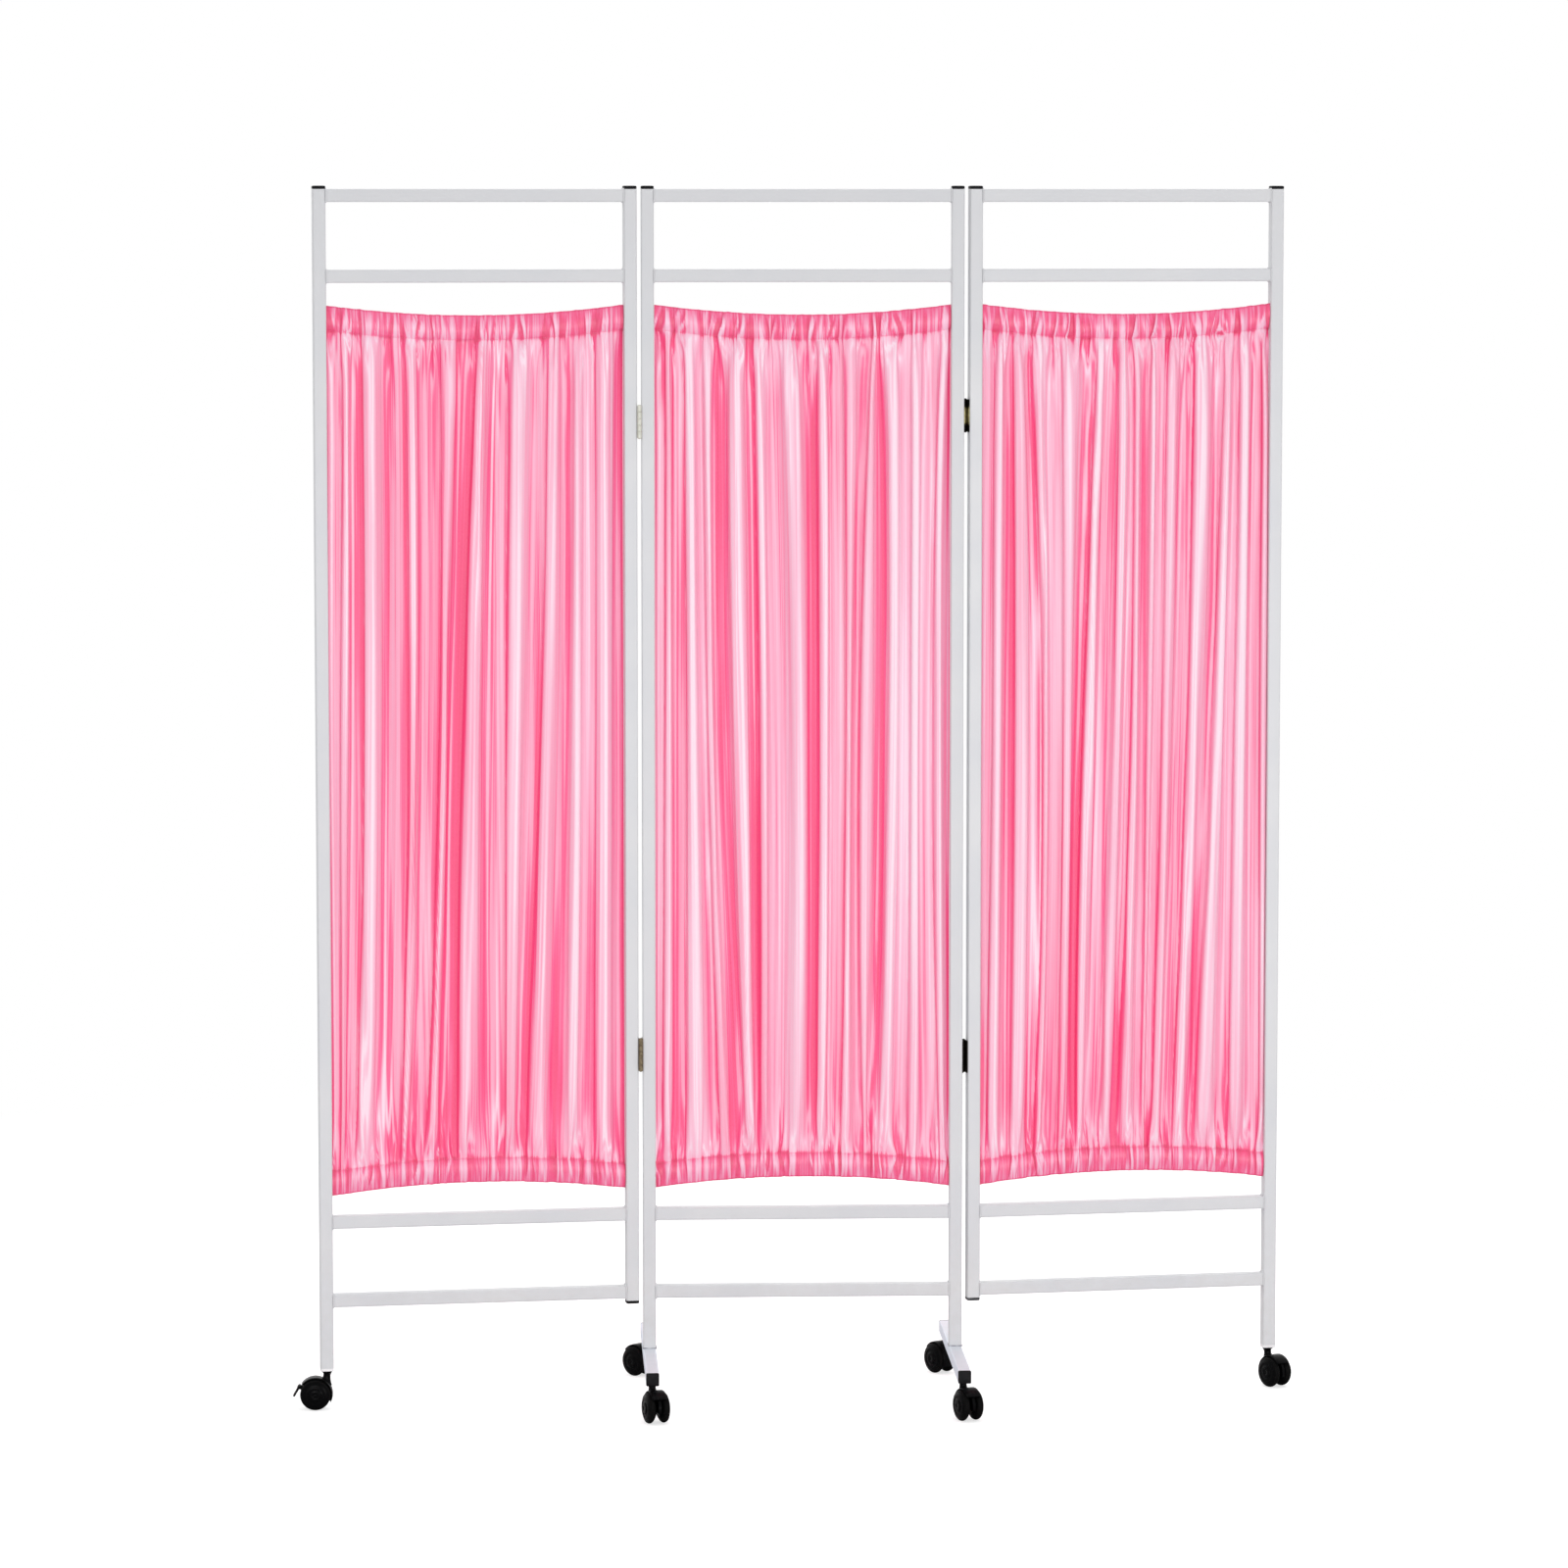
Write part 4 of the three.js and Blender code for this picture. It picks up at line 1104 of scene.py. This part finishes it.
@dataclass
class Curtain:
    """A gathered satin curtain with a casing round each wire."""

    panel: str
    seed: int
    furrows: tuple[tuple[float, float, float, float], ...]
    lightness: float
    gleams: tuple[Gleam, ...]
    width: float = 0.4362
    opening: float = 0.437
    top_wire: float = 1.6087
    bottom_wire: float = 0.3355
    sag: float = 0.015
    casing: float = 0.018
    columns: int = 500
    body_rows: int = 140
    fullness: float = 1.7
    casing_fullness: float = 1.4
    steepest: float = 1.75
    deepest: float = 0.0095
    casing_depth: float = 0.0036
    furrow_level: float = 1.0
    furrow_reach: float = 0.478
    casing_tone: float = 0.28
    rows: dict[str, Array] = field(default_factory=dict)

    def build(self) -> None:
        """Makes the cloth and its seams, and logs the size that the cloth was cut to."""
        self.lay_rows()
        self.s = np.linspace(0, 1, self.columns)[None, :]
        x, y, fold = self.gathered()
        mesh = self.cloth(x, y, fold)
        flat_width, flat_length = self.cut(x, y)
        body = BODIES[self.panel]
        cloth = show(f"{self.panel}_cloth", mesh, SATIN, body, [f"{self.panel}_curtain"])
        thread = show(f"{self.panel}_seams", self.seams(mesh), THREAD, body)
        LOG.info("%s cloth was cut %.3f by %.3f m", self.panel, flat_width, flat_length)

    def lay_rows(self) -> None:
        """Lists the rows of the cloth from the upper back hem, over the top, down and round the lower wire."""
        loop = [(-21, 2.0), (-19.5, 1.5), (-18, 0.8), (-15.5, 1.8), (-12, 3.2), (-7, 4.3), (-2, 4.7), (4, 4.3)]
        loop += [(10, 3.0), (15, 1.5), (17.3, 0.7)]
        down = [(h, -c) for h, c in loop[:2:-1]]
        top = [*loop, (18, 0.0), *down, (-17.3, -1.0), (-18, -0.7)]
        entries = [(self.top_wire + h / 1000, -1.0, c / 1000, 0.0, -1.0 if h > -17.9 else 0.0) for h, c in top]
        low, high = self.bottom_wire + self.casing, self.top_wire - self.casing
        share = np.linspace(0, 1, self.body_rows + 2)[1:-1]
        share = share - 0.09 * np.sin(FULL_TURN * share)
        for p in share[::-1]:
            entries.append((low + (high - low) * p, 1 - 2 * p, -0.0008, min(p, 1 - p) * (high - low), 0.0))
        entries += [(self.bottom_wire - h / 1000, 1.0, c / 1000, 0.0, 1.0 if h > -17.9 else 0.0) for h, c in top[::-1]]
        keys = ("level", "bow", "layer", "away", "casing")
        self.rows = {key: np.array(column)[:, None] for key, column in zip(keys, zip(*entries))}

    def nearness(self, reach: float) -> Array:
        """One in the casings, falling off over a reach in metres."""
        return np.exp(-self.rows["away"] / reach)

    def lattice(self, rng: np.random.Generator, waves: float, step: float, shift: Array | float = 0.0) -> Array:
        """Smooth noise over rows and columns.

        Args:
            rng: The source of chance.
            waves: Waves across the cloth.
            step: The height over which it changes, in metres.
            shift: How far the pattern moves aside, as a share of the width.

        Returns:
            Values of about minus one to one.
        """
        z = (2.0 - self.rows["level"]) / step
        z, s = np.broadcast_arrays(z, np.clip(self.s + shift, 0, 1) * waves * 2)
        grid = rng.normal(0, 0.75, (int(2.0 / step) + 4, int(waves * 2) + 4))
        i, j = np.floor(z).astype(int), np.floor(s).astype(int)
        a, b = z - i, s - j
        a, b = a * a * (3 - 2 * a), b * b * (3 - 2 * b)
        upper, lower = (grid[row, j] * (1 - b) + grid[row, j + 1] * b for row in (i, i + 1))
        return upper * (1 - a) + lower * a

    def hem_gap(self) -> Array:
        """The distance of every row from the nearer outer edge of the cloth."""
        height = self.rows["level"]
        return np.minimum(self.top_wire - height, height - self.bottom_wire) + self.casing

    def leaning(self) -> Array:
        """How far the folds lean aside at every row and column, as a share of the width."""
        upper, middle, lower, _ = np.array([(0.0,) * 4, *self.furrows, (1.0,) * 4]).T
        rise = np.clip((self.rows["level"] - self.furrow_level) / self.furrow_reach, -1.3, 1.3)
        marks = middle + (upper - lower) / 2 * rise + ((upper + lower) / 2 - middle) * rise**2
        return self.s - np.stack([np.interp(self.s[0], row, middle) for row in marks])

    def bends(self, rng: np.random.Generator) -> Array:
        """How the cloth turns away from flat along each row, before it is scaled to its fullness."""
        drift = self.leaning() + 0.003 * self.lattice(rng, 5, 0.9) + 0.002 * self.lattice(rng, 12, 0.5)
        marks = np.array([-0.035, *(furrow[1] for furrow in self.furrows), 1.035])
        at = np.clip(self.s - drift, -0.034, 1.034)
        cell = np.clip(np.searchsorted(marks, at) - 1, 0, len(marks) - 2)
        share = (at - marks[cell]) / (marks[cell + 1] - marks[cell])
        floor = rng.uniform(0.62, 1.0, len(marks))[cell]
        lean = np.where(rng.random(len(marks)) < 0.75, 0.58, 1.0)[cell]
        swell = rng.uniform(0.8, 1.25, len(marks))[cell]
        main = np.sin(FULL_TURN * np.minimum(share / floor, 1) ** lean) * swell
        main = main * (1 + 0.18 * self.lattice(rng, 6, 0.8))
        second = self.lattice(rng, 24, 1.1) * 0.9 + self.lattice(rng, 46, 0.7) * 0.5
        second += self.lattice(rng, 90, 0.35) * 0.16
        skew = 0.013 * self.lattice(rng, 16, 3.0) * (self.hem_gap() / self.casing - 1) * self.nearness(0.01)
        gathers = self.lattice(rng, 38, 3.0, skew) * 0.9 + self.lattice(rng, 70, 3.0, skew) * 1.0
        near, far = self.nearness(0.03), 1 - self.nearness(0.08)
        short = self.lattice(rng, 52, 0.1) * self.nearness(0.09) * (1 - near)
        return main * (0.4 + 0.8 * far) + second * (0.12 + 0.2 * far) + gathers * near + short * 0.4

    def gathered(self) -> tuple[Array, Array, Array]:
        """Bends each row until it fits between the uprights.

        Returns:
            Across and depth for every row and column, in metres, and the light and shade painted at each place.
        """
        rng = np.random.default_rng(self.seed)
        bend = self.bends(rng)
        far = 1 - self.nearness(0.05)
        full = self.casing_fullness + (self.fullness - self.casing_fullness) * far
        low, high = np.zeros_like(full), np.full_like(full, 3.0)
        for _ in range(30):
            middle = (low + high) / 2
            turns = np.cos(np.clip(middle * bend, -self.steepest, self.steepest))
            slack = turns.mean(1, keepdims=True) > 1 / full
            low, high = np.where(slack, middle, low), np.where(slack, high, middle)
        angle = np.clip((low + high) / 2 * bend, -self.steepest, self.steepest)
        step = self.width * full / (self.columns - 1)
        run = np.cumsum(np.cos(angle), 1) * step
        x = self.straightened((run - run[:, :1]) / (run[:, -1:] - run[:, :1]) - 0.5) * self.width
        depth = np.cumsum(np.sin(angle), 1) * step
        depth = depth - self.blurred(depth, 0.085)
        limit = self.casing_depth + (self.deepest - self.casing_depth) * far
        spread = np.quantile(np.abs(depth), 0.97, axis=1, keepdims=True)
        depth = depth * np.minimum(1, limit / spread)
        depth = limit * 1.2 * np.tanh(depth / limit / 1.2)
        fold = self.tone(rng, angle, depth / limit)
        layer = self.rows["layer"]
        outward = np.where(layer < 0, np.maximum(depth, -0.0006), np.minimum(depth, 0.0006))
        return x, layer - np.where(self.rows["casing"] != 0, outward, depth), fold

    def tone(self, rng: np.random.Generator, angle: Array, depth: Array) -> Array:
        """The light and shade painted on the satin: even on ridges, painted highlights where it faces the lamps,
        painted shade in furrows and gathers.

        Args:
            rng: The source of chance.
            angle: The turn of the cloth away from flat, at every row and column.
            depth: Its depth, from minus one in a furrow to one.

        Returns:
            The lightness from nought to one.
        """
        gap, near = self.hem_gap(), self.nearness(0.005)
        body, low = 1 - near, near * (self.rows["level"] < 1)
        depth = depth - near * self.blurred(depth, 0.03)
        taper = 1 - near * (1 - np.clip(gap / 0.02, 0.15, 1))
        # painted highlights on the flanks that turn towards the lamps
        shine = bell(angle + 0.35, 0.2) + 0.5 * bell(angle - 0.3, 0.15)
        shine = shine * np.clip(0.65 + 0.6 * self.lattice(rng, 14, 0.7), 0, 1.6)
        # painted shade deep in the furrows and on flanks turned away from the key lamp
        furrow = np.clip(-0.42 - depth, 0, 1) + 0.25 * np.clip(angle - 0.5, 0, 1)
        # painted shadow lines along the casing seams and at the cloth's folded edges
        seam, edge = bell(gap - 2 * self.casing, 0.0035), bell(gap, 0.0016)
        # painted shade next to the uprights
        side = self.width * np.minimum(self.s, self.s[:, ::-1])
        tone = self.lightness + (self.casing_tone - self.lightness) * near + 0.015 * low
        # painted broad bands of light and shade, and painted shade near the lower casing
        tone = tone + (self.bands() + 0.03 * self.lattice(rng, 4, 0.9) - 0.07 * self.dimness()) * body
        # painted shade rising with depth into the furrows
        lines = (0.1 + 0.42 * near - 0.17 * low) * depth - (0.5 + 0.9 * near - 0.2 * low) * furrow
        tone = tone + taper * (lines + 0.38 * shine * (1 - 0.55 * near - 0.15 * low))
        # painted shade beside the uprights and down in the creases
        tone = tone - 0.12 * bell(side, 0.005) - 0.15 * self.creases() * body
        # painted shadow at the folded edges and along the seams
        tone = tone - (0.12 + 0.05 * low) * edge - (0.02 + 0.05 * low) * seam
        return tone - 0.15 * seam * np.clip(-0.2 - depth, 0, 1)

    def bands(self) -> Array:
        """The broad bands of painted light and shade at every row and column."""
        s, height = self.s - self.leaning(), self.rows["level"]
        return sum(g.strength * bell(height - g.height, g.reach) * bell(s - g.place, g.width) for g in self.gleams)

    def creases(self) -> Array:
        """How near each row and column is to a furrow, times the furrow's depth."""
        s = self.s - self.leaning()
        return sum(deep * bell(s - middle, 0.012) for _, middle, _, deep in self.furrows)

    def dimness(self) -> Array:
        """How near each row is to the lower casing, where less light falls."""
        return bell(np.clip(self.rows["level"] - self.bottom_wire, 0, 2), 0.2)

    def straightened(self, x: Array) -> Array:
        """Keeps broad parts of the cloth over the same place in every row, so that its folds hang straight.

        Args:
            x: Shares of the width from minus a half to a half, one row of them for each row of the cloth.

        Returns:
            The shares, with only their narrow shifts left.
        """
        even = self.s - 0.5
        kept = x - self.blurred(x - even, 0.045)
        ends = np.clip(1 - np.minimum(even + 0.5, 0.5 - even) / 0.06, 0, 1) ** 2
        return kept + ends * np.where(even < 0, -0.5 - kept[:, :1], 0.5 - kept[:, -1:])

    def blurred(self, values: Array, share: float) -> Array:
        """Each row smoothed over a share of its columns."""
        reach = int(share * self.columns)
        kernel = np.hanning(2 * reach + 3)[1:-1]
        kernel /= kernel.sum()
        padded = np.pad(values, ((0, 0), (reach, reach)), mode="reflect")
        return np.stack([np.convolve(row, kernel, "valid") for row in padded])

    def heights(self, x: Array) -> Array:
        """The height of every corner, with the sag of the wires."""
        return self.rows["level"] + self.rows["bow"] * self.sag * (1 - (2 * x / self.opening) ** 2)

    def cloth(self, x: Array, y: Array, fold: Array) -> Mesh:
        """The cloth's mesh with its cut as UV, and its painted light and shade and its doubled casings as numbers."""
        ruffle = self.lattice(np.random.default_rng(self.seed + 50), 40, 3.0) * 0.0003
        from_middle = np.abs(self.rows["level"] - (self.top_wire + self.bottom_wire) / 2)
        crest = np.exp(-((from_middle - 0.655) ** 2) / 2e-5)
        points = PLACES[self.panel].world(np.stack([x, y, self.heights(x) + ruffle * crest], -1))
        n, m = x.shape
        mesh = bpy.data.meshes.new(f"{self.panel}_cloth")
        mesh.vertices.add(n * m)
        mesh.vertices.foreach_set("co", points.ravel())
        grid = np.arange(n * m).reshape(n, m)
        loops = np.stack([grid[:-1, :-1], grid[1:, :-1], grid[1:, 1:], grid[:-1, 1:]], -1).ravel()
        mesh.loops.add(len(loops))
        mesh.loops.foreach_set("vertex_index", loops)
        mesh.polygons.add(len(loops) // 4)
        mesh.polygons.foreach_set("loop_start", np.arange(0, len(loops), 4))
        mesh.update(calc_edges=True)
        run = np.concatenate([[0], np.cumsum(np.linalg.norm(np.diff(points[:, m // 2], axis=0), axis=1))])
        s = (self.s - self.leaning()) * self.width * self.fullness
        flat = np.stack(np.broadcast_arrays(s, run[:, None]), -1).reshape(-1, 2)
        mesh.uv_layers.new(name="cut").uv.foreach_set("vector", flat[loops].ravel())
        for key, values in (("fold", fold), ("hem", np.broadcast_to(self.nearness(0.005), fold.shape))):
            mesh.attributes.new(key, "FLOAT", "POINT").data.foreach_set("value", values.ravel())
        mesh.shade_smooth()
        mesh.validate()
        return mesh

    def cut(self, x: Array, y: Array) -> Pair:
        """The size that the cloth was cut to, to the next ten millimetres."""
        wide = np.hypot(np.diff(x), np.diff(y)).sum(1).mean()
        long = np.hypot(np.diff(self.heights(x), axis=0), np.diff(y, axis=0)).sum(0).mean()
        return math.ceil(wide * 100) / 100, math.ceil(long * 100) / 100

    def seams(self, mesh: Mesh) -> Mesh:
        """The stitches along both casings."""
        corners = np.empty(len(mesh.vertices) * 3)
        mesh.vertices.foreach_get("co", corners)
        grid = corners.reshape(-1, self.columns, 3)
        front = self.rows["layer"][:, 0] < 0
        points, edges = [], []
        for seam in (self.top_wire - self.casing, self.bottom_wire + self.casing):
            row = np.where(front, np.abs(self.rows["level"][:, 0] - seam), np.inf).argmin()
            edges += [(len(points) + k, len(points) + k + 1) for k in range(self.columns - 1)]
            points += (grid[row] + PLACES[self.panel].ways([(0, -0.0003, 0)])).tolist()
        return GROWER.grow(Repeat.STITCH, f"{self.panel}_seams", THREAD, np.array(points), edges)


class WardScreen:
    """The whole screen, built in order."""

    FOLDS = {
        "left": (
            (0.044, 0.034, 0.027, 0.5), (0.111, 0.107, 0.084, 0.7), (0.258, 0.258, 0.235, 1.0),
            (0.379, 0.366, 0.329, 0.8), (0.483, 0.44, 0.419, 1.1), (0.601, 0.591, 0.584, 1.2),
            (0.738, 0.708, 0.668, 1.1), (0.812, 0.802, 0.779, 1.0), (0.899, 0.896, 0.886, 0.8),
        ),
        "middle": (
            (0.03, 0.026, 0.017, 1.0), (0.093, 0.096, 0.096, 0.8), (0.159, 0.175, 0.2, 0.5),
            (0.222, 0.235, 0.278, 1.0), (0.331, 0.348, 0.354, 1.1), (0.411, 0.43, 0.43, 0.4),
            (0.533, 0.54, 0.543, 1.0), (0.632, 0.639, 0.626, 1.0), (0.719, 0.689, 0.695, 0.4),
            (0.765, 0.772, 0.745, 1.2), (0.86, 0.86, 0.85, 0.3), (0.95, 0.937, 0.95, 0.5),
        ),
        "right": (
            (0.034, 0.027, 0.02, 0.8), (0.109, 0.109, 0.102, 0.6), (0.177, 0.211, 0.197, 0.9),
            (0.272, 0.28, 0.27, 0.4), (0.384, 0.35, 0.333, 1.0), (0.459, 0.439, 0.412, 0.7),
            (0.524, 0.517, 0.49, 1.0), (0.571, 0.571, 0.561, 0.4), (0.636, 0.622, 0.605, 0.9),
            (0.731, 0.711, 0.68, 1.0), (0.833, 0.799, 0.755, 0.5), (0.891, 0.881, 0.87, 0.5),
            (0.969, 0.969, 0.973, 0.9),
        ),
    }  # shares of the width: each furrow's place high up, in the middle and low down, and its depth
    # base lightness of the painted light and shade: the same satin painted lighter or darker on each panel as the
    # light on it differs
    LIGHTNESS = {"left": 0.44, "middle": 0.525, "right": 0.515}
    # broad bands of painted light and painted shade on each panel
    GLEAMS = {
        "left": (
            Gleam(0.15, 0.05, 0.1),
            Gleam(0.25, 0.045, -0.1, 0.8, 0.6),
            Gleam(0.4, 0.15, -0.1),
            Gleam(0.66, 0.06, 0.2, 1.35, 0.6),
            Gleam(0.85, 0.06, 0.2, 0.8, 0.9),
        ),
        "middle": (
            Gleam(0.05, 0.04, -0.15, 1.5, 0.7),
            Gleam(0.15, 0.045, 0.11),
            Gleam(0.36, 0.035, -0.08, 0.5, 0.4),
            Gleam(0.45, 0.05, 0.14),
            Gleam(0.65, 0.035, -0.08, 0.7, 0.7),
            Gleam(0.85, 0.06, 0.28, 1.1, 0.5),
        ),
        "right": (
            Gleam(0.25, 0.05, 0.12, 1.4, 0.4),
            Gleam(0.3, 0.06, -0.16, 0.45, 0.45),
            Gleam(0.45, 0.035, -0.05),
            Gleam(0.65, 0.04, -0.09),
            Gleam(0.88, 0.08, 0.2, 1.0, 0.6),
        ),
    }
    FIRST_SEED = 11

    def build(self) -> None:
        """Builds studio, frames, hinges, casters and curtains."""
        Studio().build()
        Frames().build()
        self.hinges()
        self.casters()
        for seed, panel in enumerate(("left", "middle", "right"), self.FIRST_SEED):
            Curtain(panel, seed, self.FOLDS[panel], self.LIGHTNESS[panel], self.GLEAMS[panel]).build()

    def hinges(self) -> None:
        """Two hinges on each side."""
        for side, spot, turn, heights in (
            ("left", (-0.2403, -0.0115), 0.0, (1.455, 0.518)),
            ("right", (0.2403, 0.0115), math.pi, (RIGHT_UPPER_HINGE, 0.511)),
        ):
            pin, wing_pin = Place(spot, turn), Place(spot, turn + SWINGS[side])
            for rank, height in zip(("upper", "lower"), heights):
                Hinge(f"hinge_{side}_{rank}", pin, wing_pin, BODIES[side], height).build()

    def casters(self) -> None:
        """Four casters under the feet and one under each outer leg."""
        for name, x, y, heading in (
            ("front_left", -0.228, -0.17, -73),
            ("front_right", 0.228, -0.17, -68),
            ("rear_left", -0.228, 0.17, 135),
            ("rear_right", 0.228, 0.17, 123),
        ):
            Caster(f"caster_{name}", Place((x, y), math.radians(heading))).build()
        for side, x, heading in (("left", -0.228, 180), ("right", 0.228, -57)):
            x, y, _ = PLACES[side].world([x, 0.0, 0.0]).tolist()
            Caster(f"caster_{side}_outer", Place((x, y), math.radians(heading)), side == "left").build()


def main() -> None:
    """Builds the screen."""
    logging.basicConfig(level=logging.INFO, format="%(name)s: %(message)s")
    WardScreen().build()
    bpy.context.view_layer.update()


if __name__ == "__main__":
    main()
